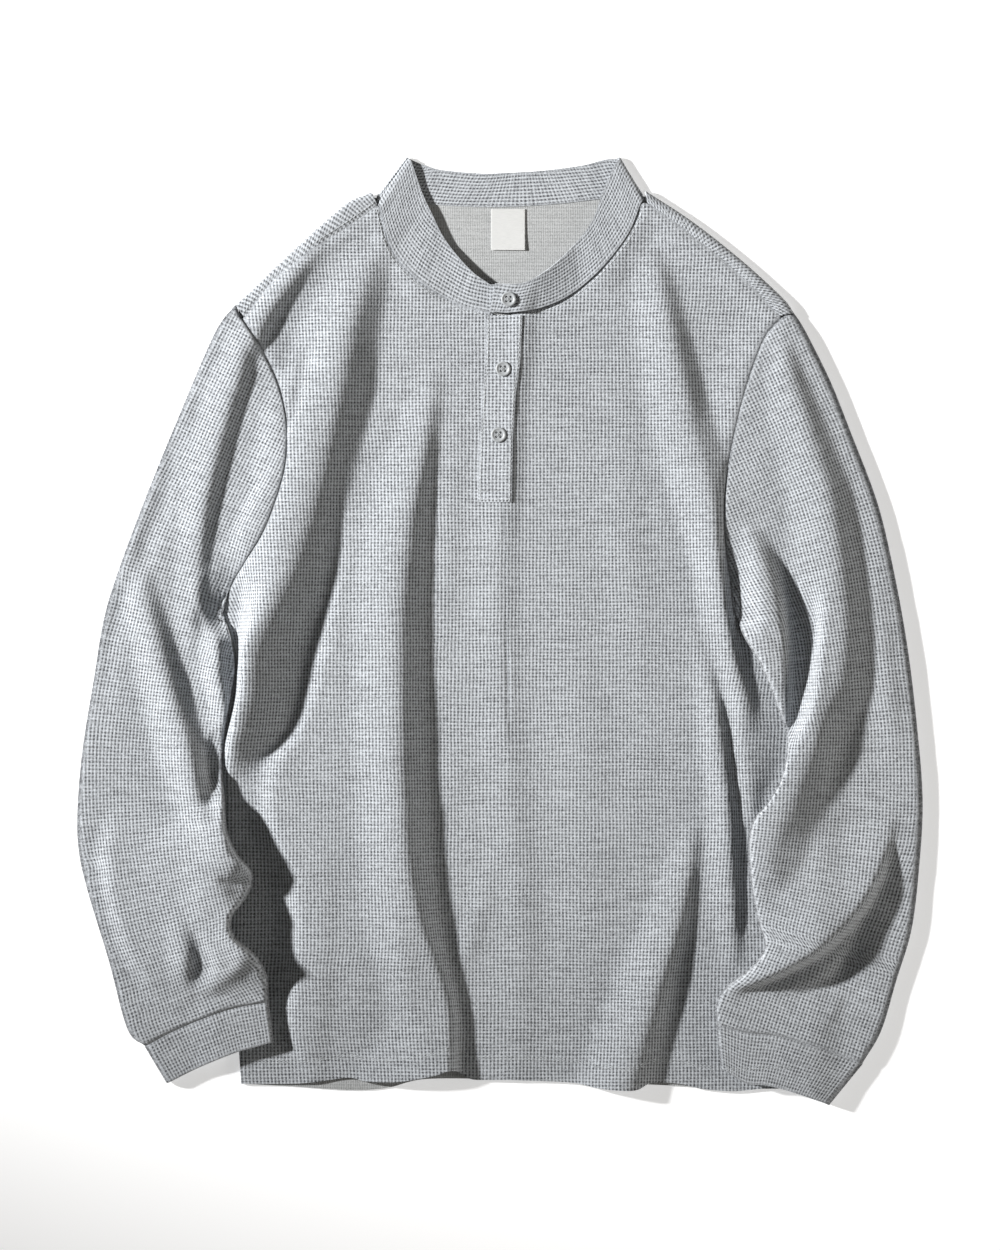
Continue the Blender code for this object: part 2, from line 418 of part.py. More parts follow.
def make_front():
    """Front panel: one grid on each side of the slit and a short one below it."""
    left = body_edge(LEFT_SIDE, LEFT_ARMHOLE, LEFT_ARM_SPLIT, SIDE_ROWS, SHOULDER_SKIP)
    right = body_edge(RIGHT_SIDE, RIGHT_ARMHOLE, RIGHT_ARM_SPLIT, SIDE_ROWS, SHOULDER_SKIP)
    rows = len(left)
    slit_left = join_lines(smooth_line(SLIT_LEFT, rows - SLIT_ROWS + 1),
                           smooth_line(SLIT_LEFT_TOP, SLIT_ROWS))
    slit_right = join_lines(smooth_line(SLIT_RIGHT, rows - SLIT_ROWS + 1),
                            smooth_line(SLIT_RIGHT_TOP, SLIT_ROWS))
    neck_left = smooth_line(COLLAR_LEFT, NECK_COLUMNS)[::-1, :2]
    neck_left[-1] = slit_left[-1]
    neck_left[:-1] += normals(neck_left)[:-1] * -2 * SEAM
    neck_right = smooth_line(COLLAR_RIGHT[:-1], NECK_COLUMNS)[::-1, :2]
    neck_right[0] = slit_right[-1]
    neck_right[1:] += normals(neck_right)[1:] * -2 * SEAM
    shoulder_left = smooth_line(LEFT_SHOULDER_SEAM, SHOULDER_COLUMNS)
    shoulder_right = smooth_line(RIGHT_SHOULDER_SEAM, SHOULDER_COLUMNS)[::-1]
    left[-1], right[-1] = shoulder_left[0], shoulder_right[-1]
    shoulder_left[-1], shoulder_right[0] = neck_left[0], neck_right[-1]
    columns = SHOULDER_COLUMNS + NECK_COLUMNS - 1
    left_grid = coons(smooth_line(LEFT_HEM, columns), join_lines(shoulder_left, neck_left),
                      left, slit_left)
    right_grid = coons(smooth_line(RIGHT_HEM, columns), join_lines(neck_right, shoulder_right),
                       slit_right, right)
    between = np.linspace(0, 1, PLACKET_COLUMNS + 1)[None, 1:-1, None]
    middle = slit_left[:, None] * (1 - between) + slit_right[:, None] * between
    plan = np.concatenate([left_grid, middle, right_grid], axis=1)
    whole = plan.shape[1]
    slit_row = rows - SLIT_ROWS
    in_slit = range(columns - 1, columns - 1 + PLACKET_COLUMNS)
    faces = [face for face in grid_faces(rows, whole)
             if not (face[0] // whole >= slit_row and face[0] % whole in in_slit)]
    points = lift(plan, front_height(plan)).reshape(-1, 3)
    used = sorted({corner for face in faces for corner in face})
    place = {old: new for new, old in enumerate(used)}
    faces = [tuple(place[corner] for corner in face) for face in faces]
    return add_mesh("front_panel", points[used], faces, WALL, "knit")


def shoulder_roll(fold, seam, columns):
    """Rows of points that take the back over a shoulder: round the fold, then on to the seam."""
    line = smooth_line(fold, columns)
    end = smooth_line(seam, columns)
    outwards = line - end
    outwards /= np.hypot(*outwards.T)[:, None]
    rows = []
    for angle in np.linspace(-math.pi / 2, math.pi / 2, ROLL_STEPS + 1):
        plan = line + outwards * ROLL * (math.cos(angle) - 1)
        z = np.full(len(line), BACK_MID + ROLL * (1 + math.sin(angle)))
        rows.append(np.column_stack([plan, z]))
    plan = end + outwards * STRIP_GAP
    rows.append(np.column_stack([plan, front_height(end)]))
    return rows


def make_back():
    """Back panel: flat on the floor, with a strip that rolls over each shoulder to the front seam."""
    left = body_edge(BACK_LEFT_SIDE, LEFT_ARMHOLE, LEFT_ARM_SPLIT, BACK_SIDE_ROWS, 1)
    right = body_edge(RIGHT_SIDE, RIGHT_ARMHOLE, RIGHT_ARM_SPLIT, BACK_SIDE_ROWS, 1)
    roll_left = shoulder_roll(LEFT_SHOULDER, LEFT_SHOULDER_SEAM, SHOULDER_COLUMNS)
    roll_right = [row[::-1] for row in shoulder_roll(RIGHT_SHOULDER, RIGHT_SHOULDER_SEAM,
                                                     SHOULDER_COLUMNS)]
    left[-1], right[-1] = roll_left[0][0, :2], roll_right[0][-1, :2]
    neck = smooth_line(COLLAR_BACK, NECK_COLUMNS)[:, :2] - (0, SEAM)
    neck[0], neck[-1] = roll_left[0][-1, :2], roll_right[0][0, :2]
    upper = join_lines(roll_left[0][:, :2], neck, roll_right[0][:, :2])
    plan = coons(smooth_line(BACK_HEM, len(upper)), upper, left, right)
    rows, columns = plan.shape[:2]
    points = [tuple(point) for point in lift(plan, np.full(plan.shape[:2], BACK_MID)).reshape(-1, 3)]
    faces = grid_faces(rows, columns)
    for roll, first in ((roll_left, 0), (roll_right, columns - SHOULDER_COLUMNS)):
        below = [(rows - 1) * columns + first + column for column in range(SHOULDER_COLUMNS)]
        for row in roll[1:]:
            above = [len(points) + column for column in range(SHOULDER_COLUMNS)]
            points += [tuple(point) for point in row]
            faces += [(below[k], below[k + 1], above[k + 1], above[k])
                      for k in range(SHOULDER_COLUMNS - 1)]
            below = above
    faces = [face[::-1] for face in faces]
    return add_mesh("back_panel", points, faces, WALL, "knit")


# ---- Sleeves and cuffs ----------------------------------------------------------------------------


def make_sleeve(name, armhole, split, outer, inner, cuff_seam, side, folds):
    """Sleeve: a flattened tube from the armhole to the cuff, over the body where it lies on it."""
    arm = armhole_line(armhole, split, ARM_GAP)
    start, lower_arm = arm[:len(ACROSS)], arm[len(ACROSS) - 1:]
    end = smooth_line(cuff_seam, shares=ACROSS)
    flank = smooth_line(inner, SLEEVE_ROWS + 1)
    flank[0] = lower_arm[-1]
    edge_in = join_lines(lower_arm, flank)
    rows = len(edge_in)
    edge_out = smooth_line(outer, rows)
    edge_out[0] = start[0]
    edge_out[-1], edge_in[-1] = end[0], end[-1]
    shares = np.asarray(ACROSS)
    along = np.linspace(0, 1, rows)[:, None, None]
    across = shares[None, :, None]
    plan = ((1 - along) * start[None] + along * end[None]
            + (1 - across) * edge_out[:, None] + across * edge_in[:, None]
            - (1 - along) * ((1 - across) * start[0] + across * start[-1])
            - along * ((1 - across) * end[0] + across * end[-1]))
    middle = rest_height(plan, side) + WALL / 2 + SLEEVE_ROLL
    rounding = edge_round(shares, LOWER_ARM_ROWS - 1, rows)
    low = middle - SLEEVE_ROLL * rounding
    high = middle + (SLEEVE_ROLL + fold_height(plan, folds)) * rounding
    from_arm, nearest = distance_to(plan, arm)
    joined = middle + (front_height(arm)[nearest] - middle) * rounding
    blend = ease(from_arm / ARM_BLEND)
    high = (1 - blend) * joined + blend * high
    close = ease((np.linspace(0, 1, rows) - 1 + CUFF_CLOSE) / CUFF_CLOSE)[:, None]
    high = (1 - close) * high + close * (middle + SLEEVE_END * rounding)
    if armhole[0][0] < 0:
        plan, low, high = plan[::-1], low[::-1], high[::-1]
    else:
        plan, low, high = plan[::-1, ::-1], low[::-1, ::-1], high[::-1, ::-1]
    return add_tube(name, plan, low, high, WALL)


def make_cuff(name, seam, mouth, side):
    """Cuff: a doubled band that goes on from the sleeve's end."""
    shares = np.asarray(ACROSS)
    start, end = smooth_line(seam, shares=ACROSS), smooth_line(mouth, shares=ACROSS)
    along = np.linspace(0, 1, CUFF_ROWS)[:, None, None]
    length = np.hypot(*(end - start).T).mean()
    along = (SEAM + BAND_WALL * 0.1 + along * (length - SEAM)) / length
    plan = (1 - along) * start[None] + along * end[None]
    middle = rest_height(plan, side) + BAND_WALL / 2 + CUFF_ROLL
    rounding = edge_round(shares, 0, CUFF_ROWS)
    low, high = middle - CUFF_ROLL * rounding, middle + CUFF_ROLL * rounding
    if seam[0][0] < 0:
        plan, low, high = plan[::-1], low[::-1], high[::-1]
    else:
        plan, low, high = plan[::-1, ::-1], low[::-1, ::-1], high[::-1, ::-1]
    return add_tube(name, plan, low, high, BAND_WALL)


# ---- Collar and placket ---------------------------------------------------------------------------


def collar_rows():
    """Seam edge and free edge points of the collar, from its lower lapped end round to its upper."""
    def over_panel(rows):
        z = front_height(rows[:, :2]) + rows[:, 2]
        return np.column_stack([rows[:, :2], z, rows[:, 3:]])

    left = join_lines(smooth_line(COLLAR_LEFT_END, 3), smooth_line(COLLAR_LEFT, NECK_COLUMNS))
    left = over_panel(left)
    back = smooth_line(COLLAR_BACK, NECK_COLUMNS)
    back[:, 2] = BAND_WALL / 2
    right = over_panel(smooth_line(COLLAR_RIGHT, NECK_COLUMNS + 1))

    def turn(start, end, outward):
        rows = []
        for share in np.linspace(0, 1, ROLL_STEPS + 1)[1:-1]:
            row = (start + end) / 2 + (start - end) / 2 * math.cos(math.pi * share)
            reach = COLLAR_TURN_OUT * math.sin(math.pi * share)
            row[0] += reach * outward[0]
            row[1] += reach * outward[1]
            row[3] += reach * outward[0]
            row[4] += reach * outward[1]
            rows.append(row)
        return rows

    left_fold, right_fold = turn(left[-1], back[0], (-0.8, 0.6)), turn(back[-1], right[0], (0.8, 0.6))
    return np.vstack([left, left_fold, back, right_fold, right])


def make_collar():
    """Band collar: one ribbon, turned over at both shoulders and lapped at the front."""
    rows = collar_rows()
    shares = np.linspace(0, 1, COLLAR_COLUMNS)
    points = np.array([[row[:3] * (1 - share) + row[3:] * share for share in shares] for row in rows])
    faces = [face[::-1] for face in grid_faces(len(rows), len(shares))]
    return add_mesh("collar", points.reshape(-1, 3), faces, BAND_WALL, "knit")


def strip(name, rows, z_over, wall):
    """A strip on the front panel between a left and a right edge given down its length."""
    table = np.array(rows)
    y = np.linspace(table[0, 0], table[-1, 0], STRIP_ROWS)
    left = np.interp(-y, -table[:, 0], table[:, 1])
    right = np.interp(-y, -table[:, 0], table[:, 2])
    share = np.linspace(0, 1, STRIP_COLUMNS)[None]
    x = left[:, None] * (1 - share) + right[:, None] * share
    plan = np.dstack([x, np.repeat(y[:, None], share.size, axis=1)])[::-1]
    points = lift(plan, front_height(plan) + z_over)
    return add_mesh(name, points.reshape(-1, 3), grid_faces(STRIP_ROWS, STRIP_COLUMNS), wall, "knit")


def make_plackets():
    """Under strip in the slit, level with the panel, and upper strip over it and the slit's edges."""
    slit = [(left[1], left[0] + SEAM, right[0] - SEAM)
            for left, right in zip(SLIT_LEFT_TOP, SLIT_RIGHT_TOP)][::-1]
    slit[0] = (PLACKET_ROWS[0][0], slit[0][1], slit[0][2])
    slit[-1] = (slit[-1][0] + SEAM, slit[-1][1], slit[-1][2])
    strip("placket_under", slit, 0, WALL)
    strip("placket_upper", PLACKET_ROWS, WALL / 2 + SEAM + STRIP_WALL / 2, STRIP_WALL)


# ---- Buttons and label ----------------------------------------------------------------------------


def make_button(name, x, y, seat):
    """Four-hole button turned about its axis, with a raised rim."""
    radius, height = BUTTON_WIDTH / 2, BUTTON_HEIGHT
    profile = [(0, height * 0.6), (radius * 0.62, height * 0.6), (radius * 0.74, height * 0.95),
               (radius * 0.84, height), (radius * 0.97, height * 0.8), (radius, height * 0.45),
               (radius * 0.9, height * 0.08), (radius * 0.8, 0), (0, 0)]
    mesh = bpy.data.meshes.new(name)
    mesh.from_pydata([(r * MM, 0, z * MM) for r, z in profile], [],
                     [(k, k + 1) for k in range(len(profile) - 1)])
    button = bpy.data.objects.new(name, mesh)
    top.objects.link(button)
    mesh.materials.append(materials["button"])
    turn = button.modifiers.new("turn", "SCREW")
    turn.steps = turn.render_steps = 20
    turn.use_merge_vertices = True
    turn.merge_threshold = 0.00001
    turn.use_smooth_shade = True
    button.location = (x * MM, y * MM, seat * MM)
    hole_place, hole_radius = 1.45, 0.85
    holes = bmesh.new()
    for side_x in (-1, 1):
        for side_y in (-1, 1):
            made = bmesh.ops.create_cone(holes, cap_ends=True, segments=8, radius1=hole_radius * MM,
                                         radius2=hole_radius * MM, depth=4 * height * MM)
            bmesh.ops.translate(holes, verts=made["verts"],
                                vec=(side_x * hole_place * MM, side_y * hole_place * MM, 0))
    cutter_mesh = bpy.data.meshes.new(name + "_holes")
    holes.to_mesh(cutter_mesh)
    holes.free()
    cutter = bpy.data.objects.new(name + "_holes", cutter_mesh)
    cutters.objects.link(cutter)
    cutter.location = button.location
    cutter.hide_render = True
    cutter.display_type = "WIRE"
    cut = button.modifiers.new("holes", "BOOLEAN")
    cut.operation = "DIFFERENCE"
    cut.object = cutter
    return button


def make_label():
    """Woven label sewn at the back neck, its free end standing a little off the back."""
    columns, rows = 3, 6
    x, y = np.meshgrid(np.linspace(*LABEL_X, columns), np.linspace(*LABEL_Y[::-1], rows))
    from_seam = (LABEL_Y[0] - y) / (LABEL_Y[0] - LABEL_Y[1])
    z = WALL + SEAM + LABEL_WALL / 2 + LABEL_RISE * from_seam ** 2
    points = np.dstack([x, y, z]).reshape(-1, 3)
    return add_mesh("neck_label", points, grid_faces(rows, columns), LABEL_WALL, "label")


def make_material(name, colour, roughness):
    material = bpy.data.materials.new(name)
    material.use_nodes = True
    shader = material.node_tree.nodes["Principled BSDF"]
    shader.inputs["Base Color"].default_value = (*colour, 1)
    shader.inputs["Roughness"].default_value = roughness
    shader.inputs["Metallic"].default_value = 0
    return material


for old in list(bpy.data.objects):
    bpy.data.objects.remove(old)
top = bpy.data.collections.new("thermal_top")
cutters = bpy.data.collections.new("cutters")
bpy.context.scene.collection.children.link(top)
bpy.context.scene.collection.children.link(cutters)
materials = {kind: make_material(kind, *look) for kind, look in COLOURS.items()}

make_back()
make_front()
make_sleeve("sleeve_left", LEFT_ARMHOLE, LEFT_ARM_SPLIT, LEFT_SLEEVE_OUTER, LEFT_SLEEVE_INNER,
            LEFT_CUFF_SEAM, LEFT_SIDE, LEFT_SLEEVE_FOLDS)
make_sleeve("sleeve_right", RIGHT_ARMHOLE, RIGHT_ARM_SPLIT, RIGHT_SLEEVE_OUTER, RIGHT_SLEEVE_INNER,
            RIGHT_CUFF_SEAM, RIGHT_SIDE, RIGHT_SLEEVE_FOLDS)
make_cuff("cuff_left", LEFT_CUFF_SEAM, LEFT_CUFF_MOUTH, LEFT_SIDE)
make_cuff("cuff_right", RIGHT_CUFF_SEAM, RIGHT_CUFF_MOUTH, RIGHT_SIDE)
make_collar()
make_plackets()
for button_name, (button_x, button_y) in BUTTONS.items():
    on_placket = front_height(np.array([[button_x, button_y]]))[0] + WALL / 2 + SEAM + STRIP_WALL
    under = BUTTON_COLLAR_SEAT if button_name == "button_collar" else on_placket
    make_button(button_name, button_x, button_y, under + SEAM)
make_label()
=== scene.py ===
"""Looks of the thermal top: waffle-knit cloth, seams, stitches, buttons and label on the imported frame.

Every cloth piece is a fine grid over the lines and folds of its solid, in millimetres seen from above,
with the smaller creases added. A UV map named "grain" holds each point's place in the uncrumpled knit,
in metres, so that the waffle keeps its real pitch over the folds.
"""
import math
from functools import partial, reduce

import bmesh
import bpy
import numpy as np
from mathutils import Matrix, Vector
from mathutils.bvhtree import BVHTree


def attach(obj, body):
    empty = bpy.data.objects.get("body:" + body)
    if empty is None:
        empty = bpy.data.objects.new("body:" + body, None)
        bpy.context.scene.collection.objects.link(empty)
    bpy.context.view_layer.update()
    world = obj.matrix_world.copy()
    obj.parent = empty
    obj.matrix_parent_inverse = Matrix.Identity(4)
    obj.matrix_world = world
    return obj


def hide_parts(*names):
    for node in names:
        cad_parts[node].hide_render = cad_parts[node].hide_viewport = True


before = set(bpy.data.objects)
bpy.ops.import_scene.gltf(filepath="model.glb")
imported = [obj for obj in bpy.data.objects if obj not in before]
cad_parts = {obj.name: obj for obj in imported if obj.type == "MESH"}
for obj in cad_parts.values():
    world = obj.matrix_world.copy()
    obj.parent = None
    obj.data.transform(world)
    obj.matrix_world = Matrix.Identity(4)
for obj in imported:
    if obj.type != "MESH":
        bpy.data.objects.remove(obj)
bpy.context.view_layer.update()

MM = 0.001

# ---- Sizes, in millimetres ----
WALL = 1.8                # one layer of waffle knit
BAND_WALL = 2.8           # doubled cloth of the cuffs
COLLAR_WALL = 2.3         # doubled cloth of the collar
PLACKET_WALL = 0.6        # the placket's upper strip
SEAM = 0.4                # height between a panel and what lies on it
ROLL = 3.7                # radius of the fold at a shoulder
SLEEVE_ROLL = 4.0         # half the height of a flattened sleeve
CUFF_ROLL = 4.2           # half the height of a flattened cuff
BACK_MID = WALL / 2
FRONT_MID = WALL + SEAM + WALL / 2
OVER_BODY = FRONT_MID + WALL / 2 + SEAM
SIDE_FLOOR = WALL + 0.3   # height that the front comes down to at its sides
SIDE_SHARE = 0.25         # share of its height over that which it keeps there
SIDE_REACH = 5
CLIMB = 30.0              # width of the slope where a sleeve climbs onto the body
CLIMB_END = 12.0          # how far outside the body's side that slope ends
EDGE_SHARE = 0.035        # share of a tube's width that its rolled edge takes up
INNER_TIGHTER = 1.6       # how much tighter its inner edge is rolled
ARM_BLEND = 26.0          # distance over which a sleeve leaves the front panel's height
SLEEVE_END = 6.0          # height of a sleeve's top over its middle at the cuff
CUFF_CLOSE = 0.1          # last share of a sleeve's length, in which it comes to that height
LEFT_ARM_SPLIT = 0.44     # share of the armhole above its innermost point
RIGHT_ARM_SPLIT = 0.66
SEAM_DIP, SEAM_REACH = 1.3, 2.6     # how deep and how far a seam draws the cloth in
ARM_DIP, SLEEVE_END_DIP, CUFF_DIP = (0.8, 1.6), (0.9, 2.2), (0.8, 2.0)     # the same at each end of a sleeve
PLACKET_RISE = 0.45       # middle of the placket's upper strip over the panel
BUTTON_WIDTH = 12.0
BUTTON_HEIGHT = 2.21
HOLE_RADIUS = 0.95
HOLE_PLACE = 1.65         # x and y of a button's hole from its middle
THREAD_RADIUS = 0.2
THREAD_REACH = 1.5        # x and y of the ends of a button's thread from its middle
THREAD_RISE = 1.806       # height of that thread over the button's seat
LABEL_WALL = 0.6
LABEL_RISE = 0.8          # how far the label's free end stands off the back
STITCH_LENGTH, STITCH_GAP, STITCH_RADIUS, STITCH_SINK = 2.6, 0.9, 0.28, 0.02
STITCH_CLIMB = 2.5        # a stitch that would climb more than this is left out
# Distance of the stitches from the neck, the shoulder seams and the hem, and between two rows.
NECK_STITCH, SHOULDER_STITCH, HEM_STITCH, ROW_STITCH = 3.4, 3.2, 17, 1.8

# The knit: pitch between the ribs that run down the cloth, and between those that cross them.
RIB_ACROSS, RIB_DOWN = 2.87, 2.74
# How far the knit fades to smooth cloth from a seam, an armhole, a cuff's edge, the collar's free edge and
# its seam, and the placket's edge. At an armhole the seam's and the armhole's reach add up past 1, which
# paints a dark line of shade into the seam's groove.
SEAM_MARK, ARM_MARK, CUFF_MARK, COLLAR_MARK, COLLAR_SEAM_MARK, PLACKET_MARK = 1.6, 1.5, 1.5, 1.7, 1.2, 1.3
RIM_SHADE = 1.8           # painted shade on a tube's rolled edge: above 1 the edge's colour is darkened
RIM_SHARPNESS = 8
FLAT_GRAIN = (0, 400)     # from a plan point of the flat back to its place in the knit
BODY_REACH, SLEEVE_REACH = 280, 120     # how far from its middle line the knit is measured

# Points along each piece, down and across.
FRONT_ROWS, FRONT_COLUMNS, PLACKET_COLUMNS = 236, 72, 6
BACK_ROWS, SHOULDER_COLUMNS, NECK_COLUMNS = 110, 34, 60
ROLL_STEPS, STRIP_STEPS = 8, 10
LOWER_ARM_ROWS, SLEEVE_ROWS = 35, 126
SLEEVE_COLUMNS, EDGE_COLUMNS = 54, 5
CUFF_ROWS, COLLAR_COLUMNS = 16, 14
CLOSE_ROWS = 8            # rows below the armhole in which a sleeve's inner edge closes
BUTTON_TURNS = 64

# ---- Plan lines: x, y ----
LEFT_SIDE = [
    (-207, -362), (-209, -330), (-214, -263), (-217, -191), (-218.5, -140), (-220.5, -112), (-219.5, -90),
    (-216, -68), (-212.5, -48), (-210, -27), (-211.5, -10), (-220.8, 12)
]
BACK_LEFT_SIDE = [
    *LEFT_SIDE[:3], (-219, -191), (-222, -160), (-225, -125), (-224.5, -90),
    (-220, -60), (-215.5, -27), (-215, -8), (-220.8, 12)
]
LEFT_ARMHOLE = [
    (-211, 260), (-207, 251), (-192, 228), (-179, 202), (-172, 177), (-170, 153), (-172, 129), (-180, 101),
    (-190, 77), (-203, 56), (-215, 36), (-222, 12)
]
LEFT_SHOULDER = [(-211, 260), (-197, 273), (-171, 298), (-146, 321), (-121, 342), (-102, 350)]
LEFT_SHOULDER_SEAM = [(-204, 250), (-184, 276), (-166, 292), (-146, 308), (-127, 320), (-98, 340)]
LEFT_HEM = [
    (-207, -362), (-167, -362), (-144, -360), (-121, -357), (-106, -360), (-81, -360), (-53, -355),
    (-38, -351), (-24, -358), (-17, -359)
]

RIGHT_SIDE = [
    (233, -366), (236, -280), (237, -200), (238, -140), (238, -100), (231, -58), (217, -20), (203, 1),
    (187.3, 14)
]
RIGHT_ARMHOLE = [
    (234, 254), (225, 250), (212, 235), (200, 205), (190, 169), (182, 129), (179, 97), (180, 69),
    (183, 45), (186, 28), (188, 14)
]
RIGHT_SHOULDER = [(234, 254), (227, 264), (207, 283), (191, 297), (170, 314), (147, 331), (116, 351)]
RIGHT_SHOULDER_SEAM = [(223.5, 252), (219, 257), (207, 270), (182, 293), (151, 318), (118, 342)]
RIGHT_HEM = [
    (9, -359), (57, -361), (77, -365), (99, -367), (110, -366), (121, -361), (144, -362), (161, -366),
    (186, -368), (210, -366), (233, -366)
]

BACK_HEM = [
    (-207, -363), (-167, -365), (-120, -368), (-90, -366), (-60, -359), (-2, -359), (60, -361),
    (120, -363), (180, -366), (232, -366)
]

# The two edges of the placket's slit, from the hem up: the panel is whole below the slit's end.
SLIT_LEFT = [(-17, -359), (-16, -200), (-14, -40), (-13, 108)]
SLIT_RIGHT = [(9, -359), (8, -200), (6, -40), (5.5, 108)]
SLIT_LEFT_TOP = [(-13, 108), (-11, 160), (-8, 210), (-6, 253.5)]
SLIT_RIGHT_TOP = [(5.5, 108), (7, 160), (10, 210), (14, 252.5)]

LEFT_SLEEVE_OUTER = [
    (-211, 260), (-222, 247), (-232, 228), (-252, 181), (-280, 113), (-304, 49), (-316, 9), (-324, -39),
    (-333, -95), (-337, -143), (-336, -175), (-329, -207), (-312, -263), (-297, -318), (-283, -331)
]
LEFT_SLEEVE_INNER = [
    (-222, 12), (-216, -8), (-212.5, -27), (-214.6, -48), (-218.2, -68), (-221.8, -90), (-222.6, -112),
    (-220.4, -138), (-218.5, -160), (-210, -179), (-198, -195), (-203, -212), (-215, -229), (-212, -245),
    (-196, -259), (-187, -275), (-186, -296)
]
LEFT_CUFF_SEAM = [(-283, -331), (-256, -317), (-224, -304), (-205, -299), (-186, -296)]
LEFT_CUFF_MOUTH = [(-265, -361), (-240, -348.5), (-212, -337), (-196, -332.5), (-182, -328.5)]

RIGHT_SLEEVE_OUTER = [
    (234, 254), (243, 240), (263, 200), (279, 160), (300, 105), (312, 57), (324, -7), (332, -71),
    (337, -135), (334, -191), (328, -239), (316, -279), (304, -319), (289, -345)
]
RIGHT_SLEEVE_INNER = [
    (188, 14), (196, -5), (210, -29), (224, -65), (230, -87), (226, -116), (214, -138), (203, -152),
    (199, -172), (201, -200), (206, -229), (212, -252), (200, -270), (183, -283), (173, -298), (174, -314)
]
RIGHT_CUFF_SEAM = [(289, -345), (250, -331), (222, -323), (196, -320), (174, -314)]
RIGHT_CUFF_MOUTH = [(262, -378), (236, -369), (214, -363), (196, -361), (178, -350)]

# ---- Folds: x, y and height of the crest, and its reach to the left and right ----
# A reach given once holds on both sides, and a number after the two is half the width of a flat top.
# A crest is listed from the collar end down, and adds to what it lies on. Below 0 it is a trough.
LEFT_CAP_FOLD = [
    (-146, 309, 2, 14, 10), (-167, 281, 5, 16, 11), (-188, 250, 7, 20, 12), (-211, 201, 8, 24, 15),
    (-225, 153, 8, 24, 15), (-236, 105, 8, 22, 14), (-242, 57, 5.5, 20, 13), (-247, 9, 3, 16, 12),
    (-248, -40, 0, 12)
]
LEFT_BODY_ROLL = [
    (-90, 330, 0, 16), (-106, 289, 6, 30, 22), (-121, 249, 12, 38, 30), (-132, 201, 17, 48, 36),
    (-142, 153, 17, 56, 36), (-154, 105, 18, 58, 37), (-170, 57, 24, 54, 46), (-188, 20, 28, 24, 50),
    (-204, -15, 31, 6, 56), (-207, -50, 30, 5, 54), (-214, -78, 25, 4, 48), (-217, -98, 12, 5, 34),
    (-217, -120, 0, 5, 22)
]
LONG_FOLD = [
    (-52, 215, 0, 16, 12), (-61, 153, 6, 28, 14), (-71, 105, 9, 38, 20), (-79, 57, 10, 40, 28),
    (-83, 9, 10, 40, 30), (-83, -39, 10, 40, 30), (-82, -87, 10.5, 40, 30), (-80, -135, 11, 40, 30),
    (-77, -183, 11, 40, 28), (-71, -231, 9.5, 38, 22, 4), (-61, -279, 6, 24, 12, 12),
    (-50, -312, 8, 40, 9, 10), (-45, -340, 13, 74, 8, 5), (-42, -365, 16, 84, 8, 2)
]
LEFT_PLATEAU = [
    (-76, 190, 0, 12, 14, 16), (-84, 153, 1, 12, 14, 23), (-95, 105, 2.5, 12, 20, 24),
    (-100, 57, 4.5, 12, 28, 21), (-106.5, 9, 6, 14, 30, 23.5), (-112, -39, 7, 15, 30, 29),
    (-119, -87, 7.5, 15, 30, 37), (-130, -135, 8, 15, 30, 50), (-120, -183, 8, 15, 28, 43),
    (-112, -231, 8.5, 15, 22, 45), (-105, -279, 8, 13, 12, 56), (-100, -312, 5, 13, 9, 60),
    (-96, -340, 1.5, 12, 8, 56), (-94, -365, 0, 12, 8, 54)
]
CENTRE_FOLD = [
    (16, 250, 2, 26, 18), (4, 150, 2.5, 26, 18), (0, 0, 2.5, 26, 18), (8, -140, 2.5, 26, 20),
    (16, -240, 2, 26, 20), (10, -363, 1, 26, 20)
]
RIGHT_CHEST_FOLD = [
    (118, 312, 0, 18, 12), (125, 285, 4, 24, 14), (133, 249, 8, 30, 18), (143, 201, 10, 34, 21),
    (154, 153, 11, 34, 24), (166, 105, 12, 32, 24), (174, 57, 12, 24, 11), (179.5, 20, 11, 24, 6.5),
    (184.5, -7, 10, 24, 7), (189, -34, 8, 20, 10), (195, -58, 5, 16, 12), (198, -80, 0, 14, 12)
]
RIGHT_SIDE_FOLD = [
    (155, 9, 0, 14, 9), (168, -39, 4, 16, 8), (176, -87, 8, 20, 7), (182, -135, 8, 20, 7),
    (185, -183, 8, 24, 7), (187, -225, 6.5, 24, 7), (188, -255, 3, 16, 7), (189, -272, 0, 16, 7)
]
RIGHT_EDGE_ROLL = [
    (182, -26, 0, 8, 18), (187, -48, 4, 8, 36), (191, -71, 6, 8, 42), (195, -105, 6, 8, 36),
    (199, -135, 5, 8, 14), (200, -160, 0, 8)
]
HEM_FOLD = [
    (156, -150, 0, 14, 8), (152, -183, 4.5, 22, 9), (142, -231, 9, 30, 13), (127, -279, 13, 38, 19),
    (111, -327, 14, 40, 26), (98, -366, 15, 42, 32)
]
# The body's edge lifts towards the sleeves and collar.
LEFT_LIFT = [
    (-60, 276, 2.5, 24), (-98, 340, 5.2, 30), (-146, 308, 5.2, 34), (-204, 250, 5.2, 34),
    (-180, 200, 5.2, 34), (-171, 150, 4, 34), (-190, 77, 3, 30), (-215, 30, 2, 20)
]
RIGHT_LIFT = [
    (80, 288, 3, 24), (118, 342, 5.2, 30), (151, 318, 5.2, 34), (222, 256, 5.2, 34), (200, 205, 5.2, 34),
    (184, 140, 4, 30), (180, 90, 1, 20)
]

